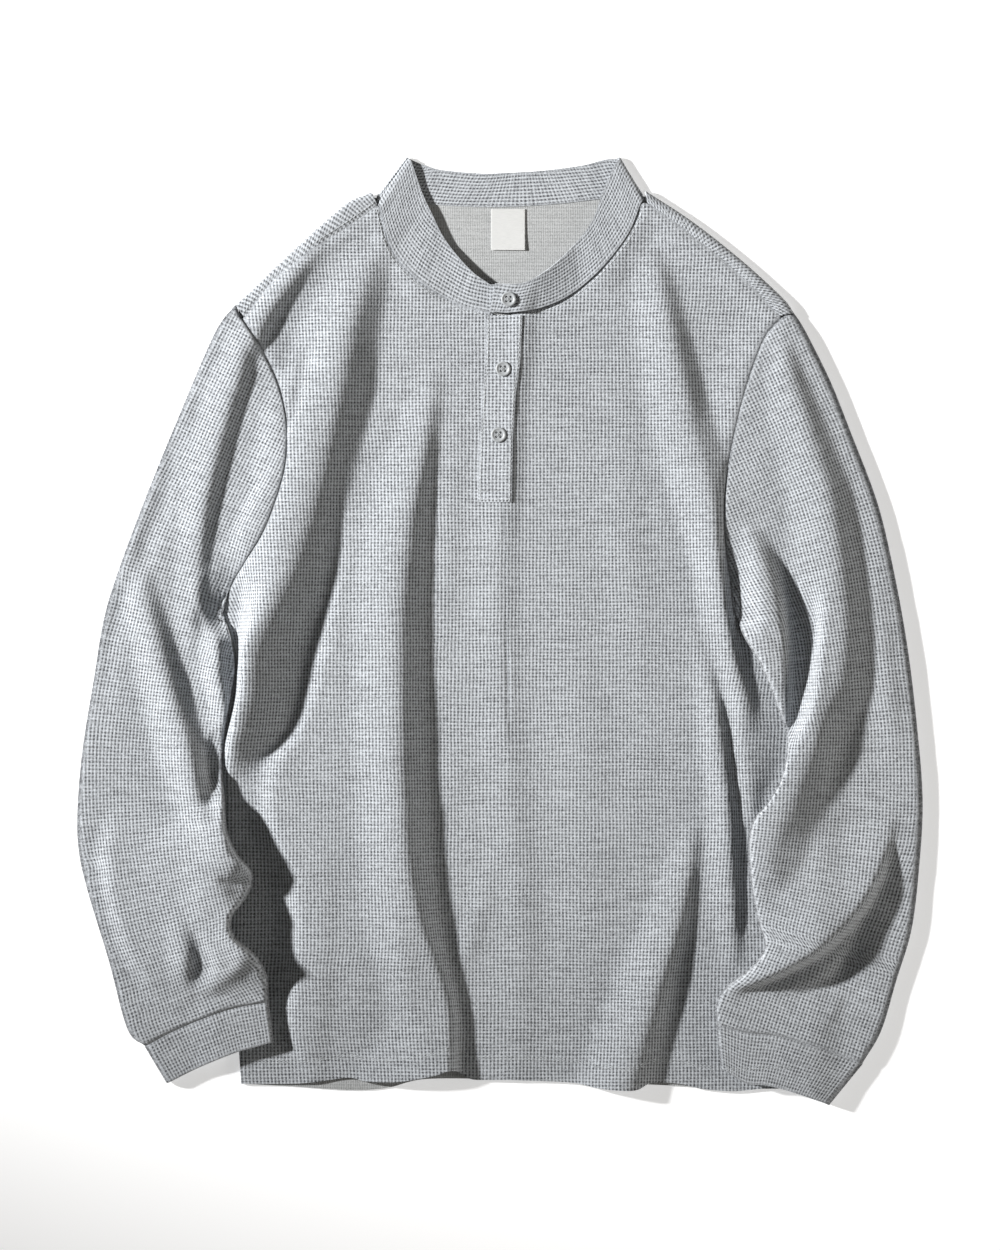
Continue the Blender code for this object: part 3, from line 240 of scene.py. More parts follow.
LEFT_UNDERARM_FLAP = [
    (-205, 66, 0, 5, 20), (-224, 52, 0.8, 5, 30), (-243, 38, 2, 5, 36), (-237, 14, 3.5, 5, 30),
    (-226, -14, 4, 5, 18), (-214, -45, 0, 5, 12)
]
LEFT_SLEEVE_FOLD = [
    (-296, 78, 0, 14, 12), (-289, 41, 4, 18, 14), (-280, 9, 8, 22, 16), (-267, -39, 12, 26, 19),
    (-253, -87, 13, 28, 19), (-242, -135, 9, 22, 12), (-234, -160, 0, 14, 8)
]
LEFT_ELBOW_MOUND = [
    (-218, -112, 0, 8, 6), (-214, -135, 12, 9, 6, 2), (-219, -158, 12, 46, 9), (-219, -178, 13, 90, 10, 2),
    (-205, -190, 14, 96, 6, 1), (-199, -202, 14, 96, 6, 1), (-208, -215, 14, 96, 6, 2),
    (-213, -232, 14, 96, 6, 2), (-207, -248, 16, 90, 6, 2), (-194, -262, 17, 84, 6, 2),
    (-187, -281, 14, 70, 6, 2), (-187, -302, 3, 20, 6)
]
LEFT_FOREARM_BULK = [
    (-262, -140, 0, 14, 10, 40), (-262, -175, 8, 14, 14, 48), (-256, -205, 9, 14, 14, 50),
    (-252, -235, 8, 16, 14, 44), (-244, -265, 5, 16, 14, 36), (-236, -295, 0, 16, 14, 30)
]
LEFT_WRIST_FOLD = [
    (-200, -256, 0, 8), (-212, -270, 5, 8, 10), (-230, -283, 6, 9, 10), (-252, -294, 4, 10),
    (-268, -302, 0, 8)
]
LEFT_POCKET_RIDGE = [
    (-262, -226, 0, 12, 8), (-252, -246, 5, 18, 11), (-250, -266, 6, 18, 11), (-254, -290, 0, 12, 8)
]
LEFT_FLAP_FOLD = [
    (-214, 50, 0, 10, 8), (-222, 30, 1, 16, 18), (-226, 4, 4, 16), (-226, -26, 9, 16, 8),
    (-222, -50, 10, 14, 8), (-220, -70, 7, 14, 6), (-225, -92, 0, 8, 6)
]
LEFT_BAY = [
    (-221, -74, 0, 4, 6), (-226, -88, -4, 5, 7, 3), (-230, -104, -5, 6, 7, 5), (-229, -118, -4.5, 5, 7, 3),
    (-222, -134, 0, 4, 6)
]

RIGHT_UNDERARM_FOLD = [
    (192, 90, 0, 12, 8), (206, 57, 9, 26, 18), (214, 28, 11, 34, 16, 3), (219, -4, 11, 40, 12, 4),
    (223, -34, 8, 36, 10, 2), (227, -58, 2, 20, 8), (229, -78, 0, 10, 6)
]
RIGHT_SLEEVE_FOLD = [
    (220, 240, 2, 16, 10), (232, 201, 7, 26, 14), (247, 153, 9, 32, 20), (260, 105, 11.5, 36, 24),
    (267, 57, 12.5, 40, 26), (265, 9, 15, 9, 32, 5), (260, -39, 16, 8, 36, 5), (250, -71, 16, 8, 34, 2),
    (241, -95, 16, 20, 34, 2), (227, -135, 14, 44, 36), (208, -180, 13, 44, 38), (204, -215, 3, 20),
    (204, -232, 0, 20)
]
RIGHT_FOREARM_FOLD = [
    (314, -142, 0, 24, 8), (308, -170, 5, 40, 8), (300, -194, 11, 80, 8), (286, -219, 14, 100, 9),
    (262, -246, 15, 110, 9), (232, -265, 13, 70, 8), (204, -278, 9, 30, 7), (186, -284, 3, 10, 5)
]
RIGHT_WEDGE = [
    (216, 76, 0, 8, 10), (224, 50, -1.5, 9, 14), (235, 20, -5, 9, 10, 2), (240, -14, -6, 9, 8, 3),
    (238, -50, -6, 7, 6, 3), (234, -76, -5, 6, 5, 2), (231, -95, 0, 5)
]

# ---- Collar: seam edge x, y and its height over the panel, then free edge x, y, z ----
COLLAR_LEFT_END = [(7, 254, 0.9, 10, 276, 6.4), (-9, 255, 0.9, -8, 277, 7.0)]
COLLAR_LEFT = [
    (-9, 255, 0.9, -8, 277, 7.0), (-32, 261, 0.8, -24, 289, 8.6), (-60, 277, 0.8, -44, 313, 10),
    (-76, 291, 0.6, -55, 335, 10.6), (-88, 309, 0.4, -62, 350, 10), (-95.5, 338, 0.2, -71, 375.9, 8.2)
]
COLLAR_BACK = [
    (-96, 347.5, 0, -72, 377.4, 1.4), (-86, 344.5, 0, -62, 373, 1.4), (-60, 341.5, 0, -48, 369, 1.4),
    (-30, 339.5, 0, -16, 366, 1.4), (0, 339, 0, 6, 366.5, 1.4), (40, 341, 0, 32, 368, 1.4),
    (80, 345.5, 0, 64, 372, 1.4), (100, 348.5, 0, 84, 377, 1.4), (110.5, 349.3, 0, 92, 377.4, 1.4)
]
COLLAR_RIGHT = [
    (112.5, 342, 0.2, 94, 375.9, 8.2), (102, 317, 0.6, 83, 352, 9.6), (80, 289, 1.0, 72, 325, 10),
    (56, 269, 1.6, 52, 301, 10.2), (32, 258.5, 2.8, 34, 286, 10.4), (8, 254.5, 4.2, 18, 278, 10.8),
    (-8, 255.5, 4.6, -4, 277.5, 10.8)
]
COLLAR_TURN_OUT = 2.8     # how far the collar's folds stand out in plan
COLLAR_STANDS = 5         # where its free edge is higher than this, the collar stands
# There its free edge drops and rises again behind, and its seam edge drops: the amount, the y where
# that starts and the width over which it grows.
COLLAR_DROP, COLLAR_RISE, COLLAR_SEAM_DROP = (4.5, 285, 25), (1.8, 355, 15), (0.9, 257, 12)

# ---- Placket (y, then the left and right edges), buttons and label ----
PLACKET_ROWS = [
    (252.5, -10.4, 18), (217, -11.6, 16.5), (188, -14, 12.6), (154, -16, 10.4), (111, -17.6, 9.6),
    (103, -17.6, 9.6)
]
PLACKET_BOX = [[(-16, 112), (8, 112)], [(-16, 105), (8, 105)]]     # its cross stitches
BUTTONS = {"button_collar": (6.8, 265), "button_upper": (2.4, 209.5), "button_lower": (-1.2, 156.8)}
BUTTON_COLLAR_SEAT = 10.75     # top of the lapped collar under its button
# Shares of a button's radius and height, from its dished middle over the rim to its underside.
BUTTON_PROFILE = [
    (0.5, 0.72), (0.6, 0.74), (0.66, 0.79), (0.71, 0.88), (0.76, 0.95), (0.82, 0.99), (0.87, 1.0),
    (0.92, 0.96), (0.965, 0.84), (0.99, 0.66), (1.0, 0.48), (0.985, 0.3), (0.94, 0.14), (0.87, 0.04), (0.8, 0)
]
LABEL_X, LABEL_Y = (-7, 20), (337.5, 304.5)

# ---- Creases that the solids leave out, as rows like those of the folds ----
FRONT_CREASES = [
    [(-146, 240, 0, 9), (-155, 215, -1.9, 9), (-161, 185, -2.2, 8), (-168, 165, -1.6, 6), (-175, 148, 0, 5)],
    [(-6, -180, 0, 16, 12), (-12, -215, 1.6, 16, 12), (-30, -262, 1.6, 14, 12), (-40, -300, 0, 12)],
    [(60, 60, 0, 30, 24), (64, -40, 1.2, 34, 26), (72, -160, 1.4, 34, 26), (70, -300, 0.6, 30, 24)],
    [(96, 200, 0, 22, 18), (100, 120, 1.1, 26, 20), (108, 20, 1.0, 26, 20), (112, -60, 0, 20, 18)],
    [(-140, -150, 0, 20, 16), (-142, -220, 1.2, 22, 16), (-146, -300, 1.6, 22, 16),
     (-150, -362, 1.2, 20, 16)],
    [(19, 262, 0, 8, 10), (18, 250, 1.9, 12, 13), (16, 217, 1.9, 12, 13), (12.4, 188, 1.6, 12, 13),
     (10.2, 154, 1.6, 12), (9, 120, 1.8, 12), (7, 96, 1, 10, 12), (3, 70, 0, 8, 9)],
    [(-18, 111, 0, 2), (-12, 111, -0.7, 2), (4, 111.5, -0.7, 2), (9.6, 111.5, 0, 2)],
    [(-34, 180, 0, 14, 12), (-38, 120, 0.9, 16, 12), (-44, 40, 0.9, 16, 12), (-46, -20, 0, 14, 12)],
]
LEFT_CREASES = [
    [(-254, 175, 0, 14), (-259, 153, -2, 16, 14), (-269, 105, -3, 16, 14), (-288, 57, -3, 14),
     (-307, 9, -2.5, 12, 14), (-317, -39, -1.5, 12, 14), (-320, -80, 0, 12)],
    [(-322, -133, 0, 5), (-300, -137, 0.8, 5, 6), (-270, -136, 0.8, 5, 6), (-246, -132, 0, 5)],
    [(-330, -176, 0, 8), (-318, -181, 1.8, 9), (-300, -192, 2, 9, 10), (-280, -204, 0, 8)],
    [(-250, -238, 0, 10, 8), (-239, -254, -5.5, 16, 10, 2), (-235, -270, -6.5, 18, 9, 2),
     (-241, -286, -3.5, 14, 8), (-248, -297, 0, 8, 6)],
    [(-292, -292, 0, 8), (-262, -300, 1.6, 8), (-236, -296, 1.2, 8), (-214, -288, 0, 8)],
    [(-232, 214, 0, 8), (-214, 222, -1, 8), (-200, 226, 0, 8)],
    [(-220, -108, 0, 10, 6), (-219, -130, 3, 20, 6), (-221, -155, 5, 24, 7), (-216, -176, 5, 22, 7),
     (-205, -188, 0, 14, 6)],
    [(-205, -184, 0, 10, 6), (-199, -197, -12, 46, 6), (-204, -208, -11, 40, 6), (-212, -219, 0, 12, 6)],
    [(-215, -222, 0, 10, 6), (-213, -234, 5, 20, 6), (-206, -248, 8, 22, 6), (-194, -263, 8, 18, 6),
     (-188, -282, 1, 12, 6), (-187, -296, 0, 8, 6)],
    [(-170, 166, 0, 6), (-176, 148, -1.8, 7), (-191, 121, -2.2, 8), (-203, 100, -1.6, 8), (-216, 76, 0, 7)],
]
RIGHT_CREASES = [
    [(272, -290, 0, 8), (268, -299, 2, 9, 8), (250, -327, 1.6, 9, 8), (244, -334, 0, 8)],
    [(198, 18, 0, 4), (202, 13, -1.3, 4), (213, 1, -1.4, 4), (223, -11, -1, 4), (228, -20, 0, 4)],
    [(308, -170, 0, 12, 8), (301, -194, 1.5, 26, 8), (287, -219, 3, 34, 9), (262, -246, 5, 36, 9),
     (232, -265, 5.5, 30, 8), (204, -278, 5, 18, 7), (190, -284, 3, 12, 10), (180, -292, 2.5, 6, 24),
     (174, -302, 1, 4, 24), (174, -310, 0, 4, 12)],
    [(196, -292, 0, 12, 8), (216, -293, -2.5, 24, 9), (240, -290, -4.5, 32, 9), (266, -276, -5, 34, 9),
     (281, -252, -3.5, 28, 8), (292, -228, 0, 12, 6)],
    [(296, 60, 0, 14, 12), (304, 10, 1.6, 16, 12), (312, -60, 1.8, 16, 12), (316, -110, 0, 14, 10)],
    [(300, -250, 0, 12, 10), (290, -272, 1.8, 14, 10), (270, -288, 1.6, 12, 9), (240, -296, 0, 10, 8)],
    [(222, -290, 0, 7), (208, -300, 1.4, 7), (190, -304, 1.2, 7), (178, -304, 0, 7)],
]

FRONT_FOLDS = [
    LEFT_CAP_FOLD, LEFT_BODY_ROLL, LONG_FOLD, LEFT_PLATEAU, CENTRE_FOLD, RIGHT_CHEST_FOLD, RIGHT_SIDE_FOLD,
    RIGHT_EDGE_ROLL, HEM_FOLD, *FRONT_CREASES
]
FRONT_LIFTS = [LEFT_LIFT, RIGHT_LIFT]
LEFT_SLEEVE_FOLDS = [
    LEFT_CAP_FOLD, LEFT_BODY_ROLL, LEFT_UNDERARM_FLAP, LEFT_SLEEVE_FOLD, LEFT_FLAP_FOLD, LEFT_BAY,
    LEFT_ELBOW_MOUND, LEFT_FOREARM_BULK, LEFT_WRIST_FOLD, LEFT_POCKET_RIDGE, *LEFT_CREASES
]
RIGHT_SLEEVE_FOLDS = [RIGHT_UNDERARM_FOLD, RIGHT_WEDGE, RIGHT_SLEEVE_FOLD, RIGHT_FOREARM_FOLD, *RIGHT_CREASES]

# Middle lines that the ribs of each sleeve follow, from above the shoulder to past the cuff.
LEFT_SLEEVE_AXIS = [
    (-114, 340), (-160, 250), (-205, 160), (-246, 70), (-272, -20), (-281, -110), (-275, -190),
    (-258, -260), (-236, -320), (-212, -385)
]
RIGHT_SLEEVE_AXIS = [
    (130, 340), (180, 250), (224, 160), (257, 70), (274, -20), (279, -110), (274, -190), (258, -260),
    (236, -325), (212, -390)
]
BODY_AXIS = [(0, -400), (0, 0), (0, 400)]

# ---- Lines ----


def mix(start, end, share):
    return (1 - share) * start + share * end


def resample(line, count=None, shares=None):
    """Points along a dense line, at even steps or at shares of its length."""
    lengths = np.hypot(*np.diff(line[:, :2], axis=0).T)
    along = np.concatenate([[0], np.cumsum(lengths)]) / lengths.sum()
    at = np.linspace(0, 1, count) if shares is None else np.asarray(shares)
    return np.column_stack([np.interp(at, along, column) for column in line.T])


def smooth_line(rows, count=None, shares=None):
    """Points along a smooth curve through the rows."""
    rows = np.asarray(rows, float)
    ends = np.vstack([2 * rows[0] - rows[1], rows, 2 * rows[-1] - rows[-2]])
    steps = np.linspace(0, 1, 12, endpoint=False)[:, None]
    spans = []
    for before, start, end, after in zip(ends, ends[1:], ends[2:], ends[3:]):
        spans.append(0.5 * (2 * start + (end - before) * steps
                            + (2 * before - 5 * start + 4 * end - after) * steps ** 2
                            + (3 * start - before - 3 * end + after) * steps ** 3))
    return resample(np.vstack(spans + [rows[-1:]]), count, shares)


def join_lines(*lines):
    """One line from some that each start where the last one ends."""
    return np.vstack([lines[0]] + [line[1:] for line in lines[1:]])


def normals(line):
    """Unit normals of a plan line, on the left of its direction."""
    ahead = np.gradient(line[:, :2], axis=0)
    ahead /= np.hypot(*ahead.T)[:, None]
    return np.column_stack([-ahead[:, 1], ahead[:, 0]])


def coons(bottom, top, left, right, across=None):
    """Plan grid [row, column] that fills the space between four edge lines; row 0 is the bottom."""
    across = np.linspace(0, 1, len(bottom)) if across is None else np.asarray(across)
    across = across[None, :, None]
    up = np.linspace(0, 1, len(left))[:, None, None]
    corners = mix(mix(bottom[0], bottom[-1], across), mix(top[0], top[-1], across), up)
    return mix(bottom[None], top[None], up) + mix(left[:, None], right[:, None], across) - corners


def distance_to(plan, line):
    """Distance of each plan point to the nearest point of a dense line, and which one that is."""
    flat = plan.reshape(-1, 2)
    gaps = np.hypot(flat[:, None, 0] - line[:, 0], flat[:, None, 1] - line[:, 1])
    return gaps.min(axis=1).reshape(plan.shape[:-1]), gaps.argmin(axis=1).reshape(plan.shape[:-1])


def inside_distance(plan, side):
    """Distance from a body side line, which runs up from the hem: positive over the body."""
    line = smooth_line(side, 400)
    towards_body = 1 if line[0, 0] < 0 else -1
    nearest = distance_to(plan, line)[0]
    x, y = plan[..., 0], plan[..., 1]
    over = (x - np.interp(y, line[:, 1], line[:, 0])) * towards_body > 0
    beside = (y > line[0, 1]) & (y < line[-1, 1])
    return np.where(over & beside, nearest, -nearest)


# ---- Heights ----


def ease(share):
    share = np.clip(share, 0, 1)
    return share * share * (3 - 2 * share)


def quarter(share):
    """0 to 1 along a quarter circle that starts upright."""
    return np.sqrt(1 - (1 - np.clip(share, 0, 1)) ** 2)


def near(distance, reach):
    """1 at a line, and about 0 from twice the reach on."""
    return np.exp(-(distance / reach) ** 2)


def ramp(place, amount, start, width):
    """0 up to the start, and the whole amount from its width on."""
    return amount * np.clip((place - start) / width, 0, 1)


def fall(share):
    """0 to 1 down a fold's side: level at the crest and the foot, and straight between them."""
    share = np.clip(share, 0, 1)
    top, foot = 0.28, 0.75
    rounded = np.where(share < top, share ** 2 / (2 * top), share - top / 2)
    past = np.maximum(share - foot, 0)
    return (rounded - past ** 2 / (2 * (1 - foot))) / ((1 + foot - top) / 2)


def fold_row(x, y, height, left, right=None, top=0):
    """A fold's row in full, with the half width of its flat top before its reach to either side."""
    return x, y, height, top, left, left if right is None else right


def fold_height(plan, folds):
    """Sum of the heights of the folds at each plan point."""
    flat = plan.reshape(-1, 2)
    total = np.zeros(len(flat))
    for crest in folds:
        line = smooth_line([fold_row(*row) for row in crest], 6 * len(crest))
        margin = line[:, 3:6].max() + line[:, 3].max()
        low, high = line[:, :2].min(axis=0) - margin, line[:, :2].max(axis=0) + margin
        close_by = ((flat > low) & (flat < high)).all(axis=1)
        x, y = flat[close_by].T
        nearest = np.full(x.shape, np.inf)
        height = np.zeros(x.shape)
        for start, end in zip(line, line[1:]):
            run = end[:2] - start[:2]
            length = math.hypot(*run)
            run = run / length
            off_x, off_y = x - start[0], y - start[1]
            share = np.clip((off_x * run[0] + off_y * run[1]) / length, 0, 1)
            gap = np.hypot(off_x - share * length * run[0], off_y - share * length * run[1])
            on_right = off_y * run[0] - off_x * run[1] > 0
            crest_z, top_width, left, right = (start[k] + share * (end[k] - start[k]) for k in range(2, 6))
            closer = gap < nearest
            value = crest_z * (1 - fall((gap - top_width) / np.where(on_right, right, left)))
            height = np.where(closer, value, height)
            nearest = np.where(closer, gap, nearest)
        total[close_by] += height
    return total.reshape(plan.shape[:-1])


def soft_noise(plan, size, seed):
    """Smooth random heights between -1 and 1 with features about size millimetres across."""
    count = 64
    cells = np.random.default_rng(seed).uniform(-1, 1, (count, count))
    place = np.asarray(plan) / size + 1000
    cell = np.floor(place).astype(int)
    across, up = np.moveaxis(ease(place - cell), -1, 0)
    x, y = np.moveaxis(cell % (count - 1), -1, 0)
    low = mix(cells[y, x], cells[y, x + 1], across)
    return mix(low, mix(cells[y + 1, x], cells[y + 1, x + 1], across), up)


def uneven(plan, *layers):
    """Sum of some soft noises, each given by its height, size and seed."""
    return sum(height * soft_noise(plan, size, seed) for height, size, seed in layers)


def front_height(plan):
    """Middle of the front panel's wall above the floor."""
    lifts = np.max([fold_height(plan, [lift]) for lift in FRONT_LIFTS], axis=0)
    return FRONT_MID + lifts + fold_height(plan, FRONT_FOLDS)


def rest_height(plan, side):
    """Height of what a sleeve or cuff rests on: the floor, or the body past its side line."""
    return OVER_BODY * ease((inside_distance(plan, side) + CLIMB_END + CLIMB) / CLIMB)


def smoothed(z, passes=2):
    """The heights of a grid with its small kinks taken out, and its edges kept."""
    z = z.copy()
    for _ in range(passes):
        around = (z[:-2, 1:-1] + z[2:, 1:-1] + z[1:-1, :-2] + z[1:-1, 2:]) / 4
        z[1:-1, 1:-1] = (z[1:-1, 1:-1] + around) / 2
    return z


def dip(distance, depth=SEAM_DIP, reach=SEAM_REACH):
    """How far a seam draws the cloth down at a distance from it."""
    return -depth * near(distance, reach)


# ---- Grain ----


class Grain:
    """Place in the knit of a plan point: along an axis, and across it as measured over the folds."""
    STEP = 2.0
    SPACING = 4

    def __init__(self, axis, half_width, height):
        dense = smooth_line(axis, 2000)
        length = np.hypot(*np.diff(dense, axis=0).T).sum()
        self.line = resample(dense, int(length / self.SPACING))
        self.spacing = length / (len(self.line) - 1)
        self.side = normals(self.line)
        self.ahead = np.column_stack([self.side[:, 1], -self.side[:, 0]])
        self.half_width = half_width
        across = np.arange(-half_width, half_width + self.STEP, self.STEP)
        plan = self.line[:, None] - self.side[:, None] * across[None, :, None]
        over = np.cumsum(np.hypot(self.STEP, np.diff(height(plan), axis=1)), axis=1)
        over = np.hstack([np.zeros((len(over), 1)), over])
        self.across = over - over[:, [len(across) // 2]]

    def __call__(self, plan):
        flat = plan.reshape(-1, 2)
        past = (flat @ self.ahead.T) - (self.line * self.ahead).sum(axis=1)
        row = np.clip((past > 0).sum(axis=1) - 1, 0, len(self.line) - 2)
        number = np.arange(len(flat))
        before, after = past[number, row], past[number, row + 1]
        share = np.clip(before / np.where(before == after, 1, before - after), -3, 3)
        foot = self.line[row] + share[:, None] * (self.line[row + 1] - self.line[row])
        side = self.side[row] + share[:, None] * (self.side[row + 1] - self.side[row])
        offset = -((flat - foot) * side).sum(axis=1)
        column = np.clip((offset + self.half_width) / self.STEP, 0, self.across.shape[1] - 1.001)
        left = column.astype(int)
        share = np.clip(share, 0, 1)
        across = mix(mix(self.across[row, left], self.across[row, left + 1], column - left),
                     mix(self.across[row + 1, left], self.across[row + 1, left + 1], column - left), share)
        return np.column_stack([across, (row + share) * self.spacing]).reshape(plan.shape)


# ---- Cloth objects ----


def lift(plan, z):
    return np.dstack([plan, z])


def grid_faces(rows, columns, first=0):
    """Quads of a grid stored row by row."""
    low = (first + np.arange(rows - 1)[:, None] * columns + np.arange(columns - 1)[None]).ravel()
    return np.column_stack([low, low + 1, low + columns + 1, low + columns])


def runs_clockwise(points):
    """Whether a grid's quads face down, seen from above."""
    across, up = points[:-1, 1:] - points[:-1, :-1], points[1:, :-1] - points[:-1, :-1]
    return (across[..., 0] * up[..., 1] - across[..., 1] * up[..., 0]).sum() < 0


def set_all(thing, **settings):
    for name, value in settings.items():
        setattr(thing, name, value)
    return thing


def add_object(name, data):
    made = bpy.data.objects.new(name, data)
    bpy.context.scene.collection.objects.link(made)
    return made


def add_cloth(name, grids, wall, look="knit", inner=None, bevel=0.0, keep=None):
    """One cloth object from grids of points, each with its grain, how smooth its knit is (above 1 it paints
    shade) and whether it faces up.
    """
    points, places, plain_and_shade, faces = [], [], [], []
    first = 0
    for grid, grain, plainness_and_shade, faces_up in grids:
        quads = grid_faces(*grid.shape[:2], first)
        if keep is not None:
            quads = quads[keep]
        points.append(grid.reshape(-1, 3))
        places.append(grain.reshape(-1, 2))
        plain_and_shade.append(np.broadcast_to(plainness_and_shade, grid.shape[:2]).ravel())
        faces.append(quads[:, ::-1] if runs_clockwise(grid) == faces_up else quads)
        first += grid[..., 0].size
    points, places, plain_and_shade, faces = (np.concatenate(part) for part in (points, places, plain_and_shade, faces))
    mesh = bpy.data.meshes.new(name)
    mesh.from_pydata((points * MM).tolist(), [], faces.tolist())
    corners = np.empty(len(mesh.loops), dtype=np.int32)
    mesh.loops.foreach_get("vertex_index", corners)
    uv = (places[corners] * MM).ravel().astype(np.float32)
    mesh.uv_layers.new(name="grain").data.foreach_set("uv", uv)
    # smoothness of the knit at each point; values above 1 paint shade into the colour
    mesh.attributes.new("plain_and_shade", "FLOAT", "POINT").data.foreach_set("value", plain_and_shade.astype(np.float32))
    work = bmesh.new()
    work.from_mesh(mesh)
    bmesh.ops.remove_doubles(work, verts=work.verts, dist=0.002 * MM)
    loose = [vertex for vertex in work.verts if not vertex.link_faces]
    bmesh.ops.delete(work, geom=loose, context="VERTS")
    work.to_mesh(mesh)
    work.free()
    mesh.shade_smooth()
    piece = add_object(name, mesh)
    mesh.materials.append(looks[look])
    if inner:
        mesh.materials.append(looks[inner])
    set_all(piece.modifiers.new("wall", "SOLIDIFY"), thickness=wall * MM, offset=0,
            material_offset=1 if inner else 0)
    if bevel:
        set_all(piece.modifiers.new("edge", "BEVEL"), width=bevel * MM, segments=3,
                limit_method="ANGLE", angle_limit=math.radians(62))
    return piece


def place_cloth(piece, node):
    """Attaches a cloth piece to the root and hides the solid it stands for."""
    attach(piece, "root")
    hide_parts(node)


# ---- Body ----


def body_side(side, armhole, corner):
    """A body panel's edge from the hem up to the shoulder corner."""
    arm = smooth_line(armhole, 400)
    start = np.hypot(*(arm - corner).T).argmin()
    return np.vstack([join_lines(smooth_line(side, 300), arm[start:][::-1]), corner])


def neck_lines():
    return [smooth_line(rows, 200)[::-1, :2] for rows in (COLLAR_LEFT, COLLAR_RIGHT[:-1])]


def make_front():
    """Front panel: one grid on each side of the slit and a narrow one below it."""
    rows, columns = FRONT_ROWS, FRONT_COLUMNS
    neck_left, neck_right = neck_lines()
    shoulder_left = smooth_line(LEFT_SHOULDER_SEAM, 200)
    shoulder_right = smooth_line(RIGHT_SHOULDER_SEAM, 200)[::-1]
    slit_left, slit_right = (join_lines(smooth_line(lower, 200), smooth_line(upper, 100)) for lower, upper
                             in ((SLIT_LEFT, SLIT_LEFT_TOP), (SLIT_RIGHT, SLIT_RIGHT_TOP)))
    top_left = np.vstack([shoulder_left, neck_left, slit_left[-1:]])
    top_right = np.vstack([slit_right[-1:], neck_right, shoulder_right])
    side_left = body_side(LEFT_SIDE, LEFT_ARMHOLE, shoulder_left[0])
    side_right = body_side(RIGHT_SIDE, RIGHT_ARMHOLE, shoulder_right[-1])
    side_left, slit_left, slit_right, side_right = (
        resample(line, rows) for line in (side_left, slit_left, slit_right, side_right))
    left = coons(smooth_line(LEFT_HEM, columns), resample(top_left, columns), side_left, slit_left)
    right = coons(smooth_line(RIGHT_HEM, columns), resample(top_right, columns), slit_right, side_right)
    between = np.linspace(0, 1, PLACKET_COLUMNS + 1)[None, 1:-1, None]
    plan = np.concatenate([left, mix(slit_left[:, None], slit_right[:, None], between), right], axis=1)
    z = smoothed(front_height(plan))
    z += uneven(plan, (0.35, 38, 1), (0.18, 13, 2))
    from_seam = distance_to(plan, np.vstack([
        smooth_line(LEFT_ARMHOLE, 240), smooth_line(RIGHT_ARMHOLE, 240), shoulder_left, shoulder_right,
        neck_left, neck_right]))[0]
    z += dip(from_seam)
    from_side, from_arm = (distance_to(plan, np.vstack([smooth_line(line, 400) for line in pair]))[0]
                           for pair in ((LEFT_SIDE, RIGHT_SIDE), (LEFT_ARMHOLE, RIGHT_ARMHOLE)))
    z = SIDE_FLOOR + (z - SIDE_FLOOR) * mix(SIDE_SHARE, 1, quarter(from_side / SIDE_REACH))
    slit_row = int(np.searchsorted(slit_left[:, 1], SLIT_LEFT_TOP[0][1]))
    whole = plan.shape[1] - 1
    row, column = np.divmod(np.arange((rows - 1) * whole), whole)
    in_slit = (row >= slit_row) & (column >= columns - 1) & (column < columns - 1 + PLACKET_COLUMNS)
    # seam and armhole add up past 1 at the armholes: a painted shadow line along the groove
    plainness_and_shade = near(from_seam, SEAM_MARK) + near(from_arm, ARM_MARK)
    return add_cloth("front_knit", [(lift(plan, z), body_grain(plan), plainness_and_shade, True)], WALL,
                     bevel=0.6, keep=~in_slit)


def shoulder_grids(fold, seam):
    """Points and grain of the strip that rolls over a shoulder and runs on to the front's seam."""
    line, end = smooth_line(fold, SHOULDER_COLUMNS), smooth_line(seam, SHOULDER_COLUMNS)
    outwards = line - end
    outwards = outwards / np.hypot(*outwards.T)[:, None]
    rows, places = [], []
    for angle in np.linspace(-math.pi / 2, math.pi / 2, ROLL_STEPS + 1):
        plan = line + outwards * ROLL * (math.cos(angle) - 1)
        z = BACK_MID + ROLL * (1 + math.sin(angle))
        rows.append(np.column_stack([plan, np.full(SHOULDER_COLUMNS, z)]))
        places.append(line + outwards * ROLL * (angle + math.pi / 2 - 1))
    start = rows[-1]
    seam_z = front_height(end)
    for share in np.linspace(0, 1, STRIP_STEPS + 1)[1:]:
        plan = mix(start[:, :2], end, share)
        z = mix(start[:, 2], seam_z, share) + dip(np.hypot(*(end - plan).T))
        rows.append(np.column_stack([plan, z]))
        gone = np.hypot(*(plan - start[:, :2]).T)[:, None]
        places.append(line + outwards * (ROLL * (math.pi - 1) + gone))
    return np.array(rows), np.array(places) + FLAT_GRAIN


def make_back():
    """Back panel: flat on the floor, with a strip that rolls over each shoulder to the front seam."""
    left_strip, left_grain = shoulder_grids(LEFT_SHOULDER, LEFT_SHOULDER_SEAM)
    right_strip, right_grain = (part[:, ::-1] for part in shoulder_grids(RIGHT_SHOULDER, RIGHT_SHOULDER_SEAM))
    neck = smooth_line(COLLAR_BACK, NECK_COLUMNS)[:, :2]
    neck[0], neck[-1] = left_strip[0][-1, :2], right_strip[0][0, :2]
    upper = join_lines(left_strip[0][:, :2], neck, right_strip[0][:, :2])
    left, right = (resample(join_lines(smooth_line(side, 300), smooth_line(armhole, 300)[::-1]), BACK_ROWS)
                   for side, armhole in ((BACK_LEFT_SIDE, LEFT_ARMHOLE), (RIGHT_SIDE, RIGHT_ARMHOLE)))
    left[-1], right[-1] = upper[0], upper[-1]
    plan = coons(smooth_line(BACK_HEM, len(upper)), upper, left, right)
    flat = lift(plan, np.full(plan.shape[:2], BACK_MID))
    grids = [(flat, plan + FLAT_GRAIN, 0.0, False), (left_strip, left_grain, 0.0, True),
             (right_strip, right_grain, 0.0, True)]
    return add_cloth("back_knit", grids, WALL, inner="inside", bevel=0.6)


# ---- Sleeves and cuffs ----


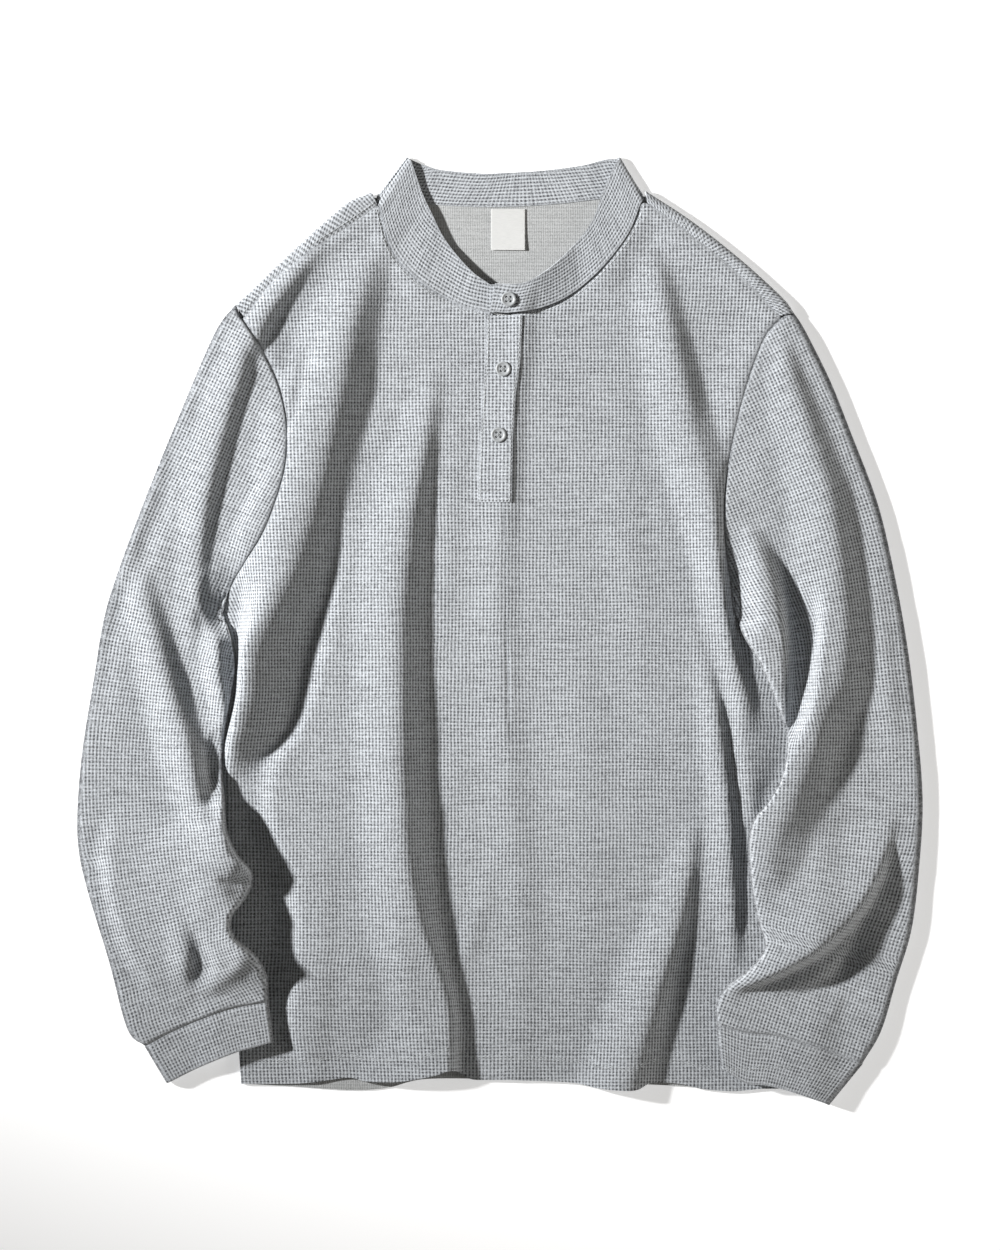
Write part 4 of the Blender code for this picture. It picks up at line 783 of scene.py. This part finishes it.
def tube_shares():
    """Shares across a tube, close together where its edges roll."""
    edge = EDGE_SHARE * (1 - np.cos(np.linspace(0, math.pi / 2, EDGE_COLUMNS + 1)))
    middle = np.linspace(EDGE_SHARE, 1 - EDGE_SHARE, SLEEVE_COLUMNS)
    return np.concatenate([edge[:-1], middle, 1 - edge[:-1][::-1]])


def tube_rounding(shares, open_rows, rows):
    """0 at a tube's edges and 1 between them; open rows have no inner edge."""
    inner = quarter((1 - shares) / EDGE_SHARE * INNER_TIGHTER)[None]
    close = ease((np.arange(rows) - open_rows) / CLOSE_ROWS)[:, None]
    return quarter(shares / EDGE_SHARE)[None] * mix(1, inner, close)


def add_tube(name, plan, high, low, place, plainness_and_shade, rounding, wall, bevel=0.0):
    """A flattened tube from the heights of its upper and lower side."""
    # the rolled edges get painted shade: their colour is darkened by RIM_SHADE
    rim = RIM_SHADE * (1 - rounding ** RIM_SHARPNESS)
    return add_cloth(name, [(lift(plan, high), place, np.maximum(plainness_and_shade, rim), True),
                            (lift(plan, low), place, rim, False)], wall, bevel=bevel)


def make_sleeve(name, armhole, split, outer, inner, cuff_seam, side, folds, axis, seed):
    """Sleeve: a flattened tube from the armhole to the cuff, over the body where it lies on it."""
    shares = tube_shares()
    lower = split + (1 - split) * np.linspace(0, 1, LOWER_ARM_ROWS + 1)[1:]
    arm = smooth_line(armhole, shares=np.concatenate([split * shares, lower]))
    start, lower_arm = arm[:len(shares)], arm[len(shares) - 1:]
    end = smooth_line(cuff_seam, shares=shares)
    flank = smooth_line(inner, SLEEVE_ROWS + 1)
    flank[0] = lower_arm[-1]
    edge_in = join_lines(lower_arm, flank)
    rows = len(edge_in)
    edge_out = smooth_line(outer, rows)
    edge_out[0] = start[0]
    edge_out[-1], edge_in[-1] = end[0], end[-1]
    plan = coons(start, end, edge_out, edge_in, shares)
    middle = rest_height(plan, side) + WALL / 2 + SLEEVE_ROLL
    rounding = tube_rounding(shares, LOWER_ARM_ROWS, rows)
    low = middle - SLEEVE_ROLL * rounding
    creased = fold_height(plan, folds) + uneven(plan, (0.4, 30, seed), (0.2, 11, seed + 1))
    high = middle + (SLEEVE_ROLL + creased) * rounding
    arm_line = smooth_line(armhole, 400)
    from_arm, nearest = distance_to(plan, arm_line)
    joined = middle + (front_height(arm_line)[nearest] - middle) * rounding
    high = mix(joined, high, ease(from_arm / ARM_BLEND))
    close = ease((np.linspace(0, 1, rows) - 1 + CUFF_CLOSE) / CUFF_CLOSE)[:, None]
    high = smoothed(mix(high, middle + SLEEVE_END * rounding, close))
    from_cuff = distance_to(plan, end)[0]
    high += dip(from_arm, *ARM_DIP) + dip(from_cuff, *SLEEVE_END_DIP) * rounding
    place = Grain(axis, SLEEVE_REACH, lambda spots: fold_height(spots, folds))(plan)
    # seam and armhole add up past 1 at the armhole: a painted shadow line along the groove
    plainness_and_shade = near(np.minimum(from_arm, from_cuff), SEAM_MARK) + near(from_arm, ARM_MARK)
    return add_tube(name, plan, np.maximum(high, low), low, place, plainness_and_shade, rounding, WALL)


def make_cuff(name, seam, mouth, side):
    """Cuff: a doubled band that goes on from the sleeve's end."""
    shares = tube_shares()
    start, end = smooth_line(seam, shares=shares), smooth_line(mouth, shares=shares)
    length = np.hypot(*(end - start).T).mean()
    along = np.linspace(0, 1, CUFF_ROWS)[:, None]
    plan = mix(start[None], end[None], along[:, :, None])
    middle = rest_height(plan, side) + BAND_WALL / 2 + CUFF_ROLL
    rounding = tube_rounding(shares, -CLOSE_ROWS, CUFF_ROWS)
    from_seam = along * length
    high = middle + (CUFF_ROLL + dip(from_seam, *CUFF_DIP) + uneven(plan, (0.3, 18, 7))) * rounding
    width = np.hypot(*(start[-1] - start[0]))
    place = np.dstack(np.broadcast_arrays((shares * width)[None], from_seam))
    plainness_and_shade = near(np.minimum(along, 1 - along) * length, CUFF_MARK)
    return add_tube(name, plan, high, middle - CUFF_ROLL * rounding, place, plainness_and_shade, rounding, BAND_WALL,
                    bevel=1.1)


# ---- Collar and placket ----


def collar_rows():
    """Seam edge and free edge points of the collar, from its lower lapped end round to its upper."""
    def over_panel(rows):
        z = front_height(rows[:, :2]) + rows[:, 2]
        return np.column_stack([rows[:, :2], z, rows[:, 3:]])

    def turn(start, end, outward):
        rows = []
        for share in np.linspace(0, 1, 12)[1:-1]:
            row = (start + end) / 2 + (start - end) / 2 * math.cos(math.pi * share)
            row[[0, 1, 3, 4]] += COLLAR_TURN_OUT * math.sin(math.pi * share) * np.tile(outward, 2)
            rows.append(row)
        return rows

    left = over_panel(join_lines(smooth_line(COLLAR_LEFT_END, 12), smooth_line(COLLAR_LEFT, 60)))
    back = smooth_line(COLLAR_BACK, 70)
    back[:, 2] = BAND_WALL / 2
    right = over_panel(smooth_line(COLLAR_RIGHT, 66))
    return np.vstack([left, turn(left[-1], back[0], (-0.8, 0.6)), back,
                      turn(back[-1], right[0], (0.8, 0.6)), right])


def make_collar():
    """Band collar: one ribbon, turned over at both shoulders and lapped at the front."""
    rows = collar_rows()
    _, seam_y, seam_z, _, free_y, free_z = rows[rows[:, 5] > COLLAR_STANDS].T
    free_z = free_z - ramp(free_y, *COLLAR_DROP) + ramp(free_y, *COLLAR_RISE)
    seam_z = seam_z - np.minimum(ramp(seam_y, *COLLAR_SEAM_DROP), seam_z)
    rows[rows[:, 5] > COLLAR_STANDS, 2::3] = np.column_stack([seam_z, free_z])
    shares = (1 - np.cos(np.linspace(0, math.pi, COLLAR_COLUMNS))) / 2
    seam_edge, free_edge = rows[:, :3], rows[:, 3:]
    points = mix(seam_edge[:, None], free_edge[:, None], shares[None, :, None])
    middle = (seam_edge + free_edge) / 2
    along = np.concatenate([[0], np.cumsum(np.linalg.norm(np.diff(middle, axis=0), axis=1))])
    height = np.linalg.norm(free_edge - seam_edge, axis=1)[:, None]
    across = shares[None] * height
    place = np.dstack(np.broadcast_arrays(across, along[:, None]))
    plainness_and_shade = near(height - across, COLLAR_MARK) + near(across, COLLAR_SEAM_MARK)
    return add_cloth("collar_knit", [(points, place, plainness_and_shade, False)], COLLAR_WALL, bevel=0.95)


def strip(name, rows, z_over, wall, count=64, columns=14, bevel=0):
    """A strip on the front panel between a left and a right edge given down its length."""
    down, left, right = np.array(rows).T
    y = np.linspace(down[0], down[-1], count)[:, None]
    left, right = np.interp(-y, -down, left), np.interp(-y, -down, right)
    share = np.linspace(0, 1, columns)[None]
    plan = np.dstack(np.broadcast_arrays(mix(left, right, share), y))
    plainness_and_shade = near(np.minimum(share, 1 - share) * (right - left), PLACKET_MARK)
    points = lift(plan, front_height(plan) + z_over)
    return add_cloth(name, [(points, body_grain(plan) + (1.2, 0.9), plainness_and_shade, True)], wall, bevel=bevel)


def make_plackets():
    slit = [(left[1], left[0] + SEAM, right[0] - SEAM)
            for left, right in zip(SLIT_LEFT_TOP, SLIT_RIGHT_TOP)][::-1]
    slit[0] = (PLACKET_ROWS[0][0], *slit[0][1:])
    under = strip("placket_under_knit", slit, 0, WALL)
    upper = strip("placket_upper_knit", PLACKET_ROWS, WALL / 2 + PLACKET_RISE, PLACKET_WALL, 140, 24,
                  bevel=0.25)
    return under, upper


# ---- Buttons and label ----


def ring_faces(rows, sides, first):
    """Quads round a tube that is stored ring by ring."""
    return [(low + k, low + (k + 1) % sides, low + sides + (k + 1) % sides, low + sides + k)
            for low in range(first, first + (rows - 1) * sides, sides) for k in range(sides)]


def add_plain(name, points, faces, look):
    """One object from points in millimetres, with no modifiers."""
    mesh = bpy.data.meshes.new(name)
    mesh.from_pydata((np.asarray(points, float) * MM).tolist(), [], [list(face) for face in faces])
    mesh.update()
    mesh.shade_smooth()
    mesh.materials.append(looks[look])
    return add_object(name, mesh)


def make_button(node, x, y, seat):
    """Four-hole button: a dished middle, a rounded rim and the thread crossed through its holes."""
    turns, radius = BUTTON_TURNS, BUTTON_WIDTH / 2
    angles = np.arange(turns) * 2 * math.pi / turns
    points = [(math.cos(angle) * share * radius, math.sin(angle) * share * radius, z * BUTTON_HEIGHT)
              for share, z in BUTTON_PROFILE for angle in angles]
    points = [(0, 0, BUTTON_PROFILE[0][1] * BUTTON_HEIGHT)] + points + [(0, 0, 0)]
    last = len(points) - 1 - turns
    faces = [(0, 1 + k, 1 + (k + 1) % turns) for k in range(turns)]
    faces += [(a, d, c, b) for a, b, c, d in ring_faces(len(BUTTON_PROFILE), turns, 1)]
    faces += [(last + (k + 1) % turns, last + k, len(points) - 1) for k in range(turns)]
    button = add_plain(node + "_moulded", points, faces, "button")
    button.location = (x * MM, y * MM, seat * MM)
    holes = bmesh.new()
    for side_x in (-HOLE_PLACE, HOLE_PLACE):
        for side_y in (-HOLE_PLACE, HOLE_PLACE):
            made = bmesh.ops.create_cone(holes, cap_ends=True, segments=24, radius1=HOLE_RADIUS * MM,
                                         radius2=HOLE_RADIUS * MM, depth=4 * BUTTON_HEIGHT * MM)
            bmesh.ops.translate(holes, verts=made["verts"], vec=(side_x * MM, side_y * MM, 0))
    cutter = add_object("cutter", bpy.data.meshes.new("cutter"))
    holes.to_mesh(cutter.data)
    holes.free()
    cutter.location = button.location
    set_all(button.modifiers.new("holes", "BOOLEAN"), operation="DIFFERENCE", object=cutter)
    bpy.context.view_layer.update()
    solid = bpy.data.meshes.new_from_object(button.evaluated_get(bpy.context.evaluated_depsgraph_get()))
    button.modifiers.clear()
    button.data = solid
    bpy.data.objects.remove(cutter)
    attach(button, "root")
    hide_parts(node)
    make_button_thread(node, x, y, seat)


def make_button_thread(node, x, y, seat):
    """Crossed thread from hole to hole: two strands each way, one a little ahead of the other."""
    share = np.linspace(-1, 1, 15)
    paths = []
    for number, way in enumerate((1, -1)):
        z = seat + THREAD_RISE + 0.14 * number - 1.7 * abs(share) ** 8
        for ahead in (-0.112, 0.112):
            paths.append(np.column_stack([x + way * THREAD_REACH * share + ahead,
                                          y + THREAD_REACH * share + way * ahead, z]))
    thread = add_tubes(node + "_thread", paths, THREAD_RADIUS, 8)
    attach(thread, "root")


def add_tubes(name, paths, radius, sides=6):
    """Round threads along paths of points, closed at their ends."""
    points, faces = [], []
    angles = np.arange(sides)[:, None] * 2 * math.pi / sides
    for path in paths:
        path = np.asarray(path, float)
        ahead = np.gradient(path, axis=0)
        ahead /= np.linalg.norm(ahead, axis=1)[:, None]
        side = np.cross(ahead, (0.0, 0.0, 1.0)) + 1e-9
        side /= np.linalg.norm(side, axis=1)[:, None]
        up = np.cross(side, ahead)
        swell = np.ones((len(path), 1, 1))
        swell[0] = swell[-1] = 0.35
        spokes = np.cos(angles) * side[:, None] + np.sin(angles) * up[:, None]
        rings = path[:, None] + radius * swell * spokes
        first = len(points)
        points += rings.reshape(-1, 3).tolist()
        last = len(points) - sides
        faces += ring_faces(len(path), sides, first)
        faces += [tuple(range(first, first + sides))[::-1], tuple(range(last, last + sides))]
    return add_plain(name, points, faces, "thread")


def make_label():
    """Woven label stitched at the back neck, its free end standing a little off the back."""
    x, y = np.meshgrid(np.linspace(*LABEL_X, 28), np.linspace(*LABEL_Y[::-1], 34))
    from_seam = (LABEL_Y[0] - y) / (LABEL_Y[0] - LABEL_Y[1])
    across = (x - LABEL_X[0]) / (LABEL_X[1] - LABEL_X[0]) - 0.5
    z = WALL + SEAM + LABEL_WALL / 2 + LABEL_RISE * from_seam ** 2 * (1 + 0.5 * across)
    plan = np.dstack([x, y])
    label = add_cloth("label_woven", [(lift(plan, z), plan + FLAT_GRAIN, 0.0, True)], LABEL_WALL, "label",
                      bevel=0.2)
    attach(label, "root")
    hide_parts("neck_label")


# ---- Stitches ----


def surface_of(*pieces):
    """The finished surfaces of some cloth pieces, to lay stitches on."""
    graph = bpy.context.evaluated_depsgraph_get()
    points, faces = [], []
    for piece in pieces:
        mesh = piece.evaluated_get(graph).to_mesh()
        first = len(points)
        points += [tuple(vertex.co) for vertex in mesh.vertices]
        faces += [tuple(first + corner for corner in face.vertices) for face in mesh.polygons]
        piece.evaluated_get(graph).to_mesh_clear()
    return BVHTree.FromPolygons(points, faces)


def lay_stitches(name, lines, tree):
    """Short raised stitches down some plan lines, laid on the cloth's highest surface."""
    pitch = STITCH_LENGTH + STITCH_GAP
    paths = []
    for line in lines:
        line = np.asarray(line, float)
        whole = np.hypot(*np.diff(line[:, :2], axis=0).T).sum()
        count = max(int(whole / pitch), 1)
        shares = (np.arange(count)[:, None] + np.linspace(0, STITCH_LENGTH / pitch, 5)[None]) / count
        for spot in resample(line, shares=shares.ravel()).reshape(count, 5, -1):
            path = []
            for share, (x, y) in zip(np.linspace(-1, 1, 5), spot[:, :2]):
                hit = tree.ray_cast(Vector((x * MM, y * MM, 0.2)), Vector((0, 0, -1)))[0]
                if hit is None:
                    break
                path.append((x, y, hit.z / MM - STITCH_SINK + STITCH_RADIUS * (0.55 - 1.1 * share ** 4)))
            if len(path) == 5 and np.ptp(np.array(path)[:, 2]) < STITCH_CLIMB:
                paths.append(path)
    stitches = add_tubes(name, paths, STITCH_RADIUS)
    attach(stitches, "root")


def beside(line, shift):
    """A plan line moved to its left by shift."""
    line = np.asarray(line, float)[:, :2]
    return line + normals(line) * shift


# ---- Materials ----


class Shade:
    """A Principled material that is built up from sockets."""

    def __init__(self, name, **constants):
        self.material = bpy.data.materials.new(name)
        self.material.use_nodes = True
        self.tree = self.material.node_tree
        self.shader = self.tree.nodes["Principled BSDF"]
        for socket, value in constants.items():
            self.shader.inputs[socket.replace("_", " ")].default_value = value

    def node(self, kind, inputs, output=0, **settings):
        made = set_all(self.tree.nodes.new(kind), **settings)
        for name, value in inputs.items():
            if isinstance(value, bpy.types.NodeSocket):
                self.tree.links.new(value, made.inputs[name])
            else:
                made.inputs[name].default_value = value
        return made.outputs[output]

    def math(self, operation, *values):
        return self.node("ShaderNodeMath", dict(enumerate(values)), operation=operation)

    def sum(self, *values):
        return reduce(partial(self.math, "ADD"), values)

    def product(self, *values):
        return reduce(partial(self.math, "MULTIPLY"), values)

    def rest(self, value):
        """What is left of 1."""
        return self.math("SUBTRACT", 1.0, value)

    def swing(self, value):
        """A value from 0 to 1 as one from -0.5 to 0.5."""
        return self.math("SUBTRACT", value, 0.5)

    def grain(self):
        return self.node("ShaderNodeUVMap", {}, uv_map="grain")

    def scaled(self, vector, x, y):
        return self.node("ShaderNodeVectorMath", {0: vector, 1: (x, y, 0)}, operation="MULTIPLY")

    def noise(self, vector, scale, detail=2.0, roughness=0.5):
        return self.node("ShaderNodeTexNoise", {"Vector": vector, "Scale": scale, "Detail": detail,
                                                "Roughness": roughness}, noise_dimensions="2D")

    def mixed(self, share, low, high):
        """The low colour where share is 0, and the high one where it is 1."""
        return self.node("ShaderNodeMix", {0: share, 6: (*low, 1), 7: (*high, 1)}, output=2, data_type="RGBA")

    def finish(self, colour, height=None, distance=0.0):
        self.tree.links.new(colour, self.shader.inputs["Base Color"])
        if height is not None:
            bump = self.node("ShaderNodeBump", {"Height": height, "Distance": distance, "Strength": 1.0})
            self.tree.links.new(bump, self.shader.inputs["Normal"])
        return self.material


def waffle(name, rib_colour, pit_shade_colour, pitch_across, pitch_down, depth, furrows=(0.45, 0.22, 0.33)):
    """Waffle knit: ribs down and across with furrows between them, and a heather yarn. The furrows' dark
    colour is painted shade, and smoothness values above 1 paint more shade.
    """
    shade = Shade(name, Roughness=0.95, Diffuse_Roughness=0.8, Specular_IOR_Level=0.2, Sheen_Weight=0.22,
                  Sheen_Roughness=0.5)
    grain = shade.grain()
    ways = shade.node("ShaderNodeSeparateXYZ", {0: grain}).node.outputs
    places, ribs = [], []
    for way, pitch, warp in ((ways[0], pitch_across, shade.noise(grain, 16, 1)),
                             (ways[1], pitch_down, shade.noise(shade.scaled(grain, 1.07, 0.93), 14, 1))):
        place = shade.sum(shade.math("DIVIDE", way, pitch * MM), shade.product(shade.swing(warp), 0.9))
        wave = shade.math("COSINE", shade.product(place, 2 * math.pi))
        places.append(place)
        ribs.append(shade.sum(shade.product(wave, -0.5), 0.5))
    # furrow depth: it drives both the bump and the painted shade in the furrows
    pit = shade.sum(shade.product(ribs[0], furrows[0]), shade.product(ribs[1], furrows[1]),
                    shade.product(*ribs, furrows[2]))
    plain_and_shade = shade.node("ShaderNodeAttribute", {}, output=2, attribute_name="plain_and_shade")
    knit = shade.rest(shade.product(shade.math("MINIMUM", plain_and_shade, 1.0), 0.85))
    pit = shade.node("ShaderNodeMix", {0: knit, 2: 0.42, 3: pit}, data_type="FLOAT")
    # values above 1 are painted shade: a dark line in a seam's groove and on a tube's rolled edge
    painted_shade = shade.math("MAXIMUM", shade.math("SUBTRACT", plain_and_shade, 1.0), 0.0)
    level = shade.rest(shade.sum(pit, shade.product(painted_shade, 0.5)))
    half = shade.node("ShaderNodeCombineXYZ", {
        number: shade.math("ROUND", shade.product(place, 2.0)) for number, place in enumerate(places)})
    speckle = shade.sum(*(shade.product(shade.swing(noise), amount) for noise, amount in (
        (shade.noise(shade.scaled(grain, 420, 520), 1.0, 1), 0.15),      # knots
        (shade.noise(shade.scaled(grain, 30, 400), 1.0, 2), 0.5),        # streaks along the rows
        (shade.noise(grain, 1100, 2, 0.8), 1.9),                         # fibres
        (shade.node("ShaderNodeTexWhiteNoise", {"Vector": half}, noise_dimensions="2D"), 0.34),
        (shade.noise(shade.scaled(grain, 9, 22), 1.0, 2), 0.1))))        # broad clouds
    colour = shade.mixed(shade.sum(level, shade.product(speckle, 0.8)), pit_shade_colour, rib_colour)
    return shade.finish(colour, shade.sum(level, shade.product(speckle, 0.3)), depth * MM)


def make_looks():
    thread = Shade("thread", Roughness=0.8, Specular_IOR_Level=0.3)
    spun = thread.noise(thread.node("ShaderNodeTexCoord", {}, output=3), 1800, 2)
    button = Shade("button_moulded", Roughness=0.38, Specular_IOR_Level=0.5)
    clouds = button.noise(button.node("ShaderNodeTexCoord", {}, output=3), 260, 3)
    label = Shade("label_woven", Roughness=0.7, Sheen_Weight=0.15)
    grain = label.grain()
    weave = label.node("ShaderNodeTexWave", {"Vector": grain, "Scale": 1500.0, "Distortion": 0.4}, output=1,
                       bands_direction="Y")
    uneven_yarn = label.noise(label.scaled(grain, 200, 2200), 1.0, 2)
    woven = label.sum(label.product(weave, 0.5), label.product(uneven_yarn, 0.5))
    floor = Shade("floor", Roughness=0.9, Specular_IOR_Level=0.0, Base_Color=(0.85, 0.85, 0.85, 1),
                  Emission_Color=(1, 1, 1, 1), Emission_Strength=0.46)
    return {
        # the dark pit colours are painted shade in the waffle's furrows, not a darker yarn
        "knit": waffle("waffle_knit", (0.682, 0.71, 0.742), (0.066, 0.069, 0.076), RIB_ACROSS, RIB_DOWN, 0.3),
        "inside": waffle("waffle_inside", (0.62, 0.63, 0.63), (0.27, 0.275, 0.275), RIB_ACROSS / 2, RIB_DOWN,
                         0.2, furrows=(0.5, 0.2, 0.1)),
        "thread": thread.finish(thread.mixed(spun, (0.42, 0.44, 0.45), (0.62, 0.64, 0.65))),
        "button": button.finish(button.mixed(clouds, (0.31, 0.325, 0.335), (0.43, 0.445, 0.455)), clouds,
                                0.08 * MM),
        "label": label.finish(label.mixed(woven, (0.56, 0.565, 0.555), (0.79, 0.79, 0.775)), woven, 0.1 * MM),
        "floor": floor.material,
    }


# ---- Light, floor and camera ----


def add_lamp(name, kind, place, target, **settings):
    lamp = add_object(name, set_all(bpy.data.lights.new(name, kind), **settings))
    lamp.location = place
    lamp.rotation_euler = (Vector(target) - lamp.location).to_track_quat("-Z", "Y").to_euler()


def make_stage():
    """A low sun from the left, a warm board on the right, a pale floor and the camera overhead."""
    bpy.ops.mesh.primitive_plane_add(size=8)
    floor = bpy.context.object
    floor.name = "floor"
    floor.data.materials.append(looks["floor"])
    bearing, rise, away = math.radians(15), math.radians(29), 4.5
    sun = (-away * math.cos(rise) * math.cos(bearing), away * math.cos(rise) * math.sin(bearing),
           away * math.sin(rise))
    add_lamp("key", "SPOT", sun, (-0.12, 0.25, 0), energy=1870, spot_size=math.radians(24), spot_blend=1.0,
             shadow_soft_size=0.18)
    add_lamp("board", "AREA", (3.0, -0.5, 0.75), (0, 0, 0), shape="RECTANGLE", size=2.4, size_y=0.9,
             energy=42, color=(1.0, 0.96, 0.90))
    world = bpy.data.worlds.new("fill")
    world.use_nodes = True
    sky = world.node_tree.nodes["Background"].inputs
    sky["Color"].default_value = (1.0, 0.965, 0.91, 1)
    sky["Strength"].default_value = 0.105
    bpy.context.scene.world = world
    lens = set_all(bpy.data.cameras.new("camera"), sensor_fit="HORIZONTAL", sensor_width=36, lens=270,
                   clip_end=100)
    camera = add_object("camera", lens)
    camera.location = (0, 0.0048, 6.0)
    bpy.context.scene.camera = camera
    bpy.context.scene.view_settings.view_transform = "Standard"


# ---- Build ----

looks = make_looks()
body_grain = Grain(BODY_AXIS, BODY_REACH, front_height)
back = make_back()
front = make_front()
sleeve_left = make_sleeve("sleeve_left_knit", LEFT_ARMHOLE, LEFT_ARM_SPLIT, LEFT_SLEEVE_OUTER,
                          LEFT_SLEEVE_INNER, LEFT_CUFF_SEAM, LEFT_SIDE, LEFT_SLEEVE_FOLDS,
                          LEFT_SLEEVE_AXIS, 11)
sleeve_right = make_sleeve("sleeve_right_knit", RIGHT_ARMHOLE, RIGHT_ARM_SPLIT, RIGHT_SLEEVE_OUTER,
                           RIGHT_SLEEVE_INNER, RIGHT_CUFF_SEAM, RIGHT_SIDE, RIGHT_SLEEVE_FOLDS,
                           RIGHT_SLEEVE_AXIS, 21)
cuff_left = make_cuff("cuff_left_knit", LEFT_CUFF_SEAM, LEFT_CUFF_MOUTH, LEFT_SIDE)
cuff_right = make_cuff("cuff_right_knit", RIGHT_CUFF_SEAM, RIGHT_CUFF_MOUTH, RIGHT_SIDE)
collar = make_collar()
placket_under, placket_upper = make_plackets()

place_cloth(back, "back_panel")
place_cloth(front, "front_panel")
place_cloth(sleeve_left, "sleeve_left")
place_cloth(sleeve_right, "sleeve_right")
place_cloth(cuff_left, "cuff_left")
place_cloth(cuff_right, "cuff_right")
place_cloth(collar, "collar")
place_cloth(placket_under, "placket_under")
place_cloth(placket_upper, "placket_upper")
make_label()
for button_node, (button_x, button_y) in BUTTONS.items():
    strip_top = WALL / 2 + PLACKET_RISE + PLACKET_WALL / 2
    on_placket = front_height(np.array([[button_x, button_y]]))[0] + strip_top
    under = BUTTON_COLLAR_SEAT if button_node == "button_collar" else on_placket
    make_button(button_node, button_x, button_y, under + SEAM)

cloth_top = surface_of(front, back, sleeve_left, sleeve_right, cuff_left, cuff_right)
neck_left_line, neck_right_line = neck_lines()
hem_line = np.vstack([smooth_line(LEFT_HEM, 200), smooth_line(RIGHT_HEM, 200)]) + (0, HEM_STITCH)
lay_stitches("body_stitches", [
    beside(neck_left_line, -NECK_STITCH), beside(neck_right_line, -NECK_STITCH),
    hem_line, hem_line + (0, ROW_STITCH),
    beside(smooth_line(LEFT_SHOULDER_SEAM, 200), SHOULDER_STITCH),
    beside(smooth_line(RIGHT_SHOULDER_SEAM, 200), -SHOULDER_STITCH),
], cloth_top)
placket = np.array(PLACKET_ROWS)
lay_stitches("placket_stitches", [
    placket[:, [1, 0]] + (ROW_STITCH, 0), placket[:, [2, 0]] + (-ROW_STITCH, 0), *PLACKET_BOX,
], surface_of(placket_upper))

make_stage()
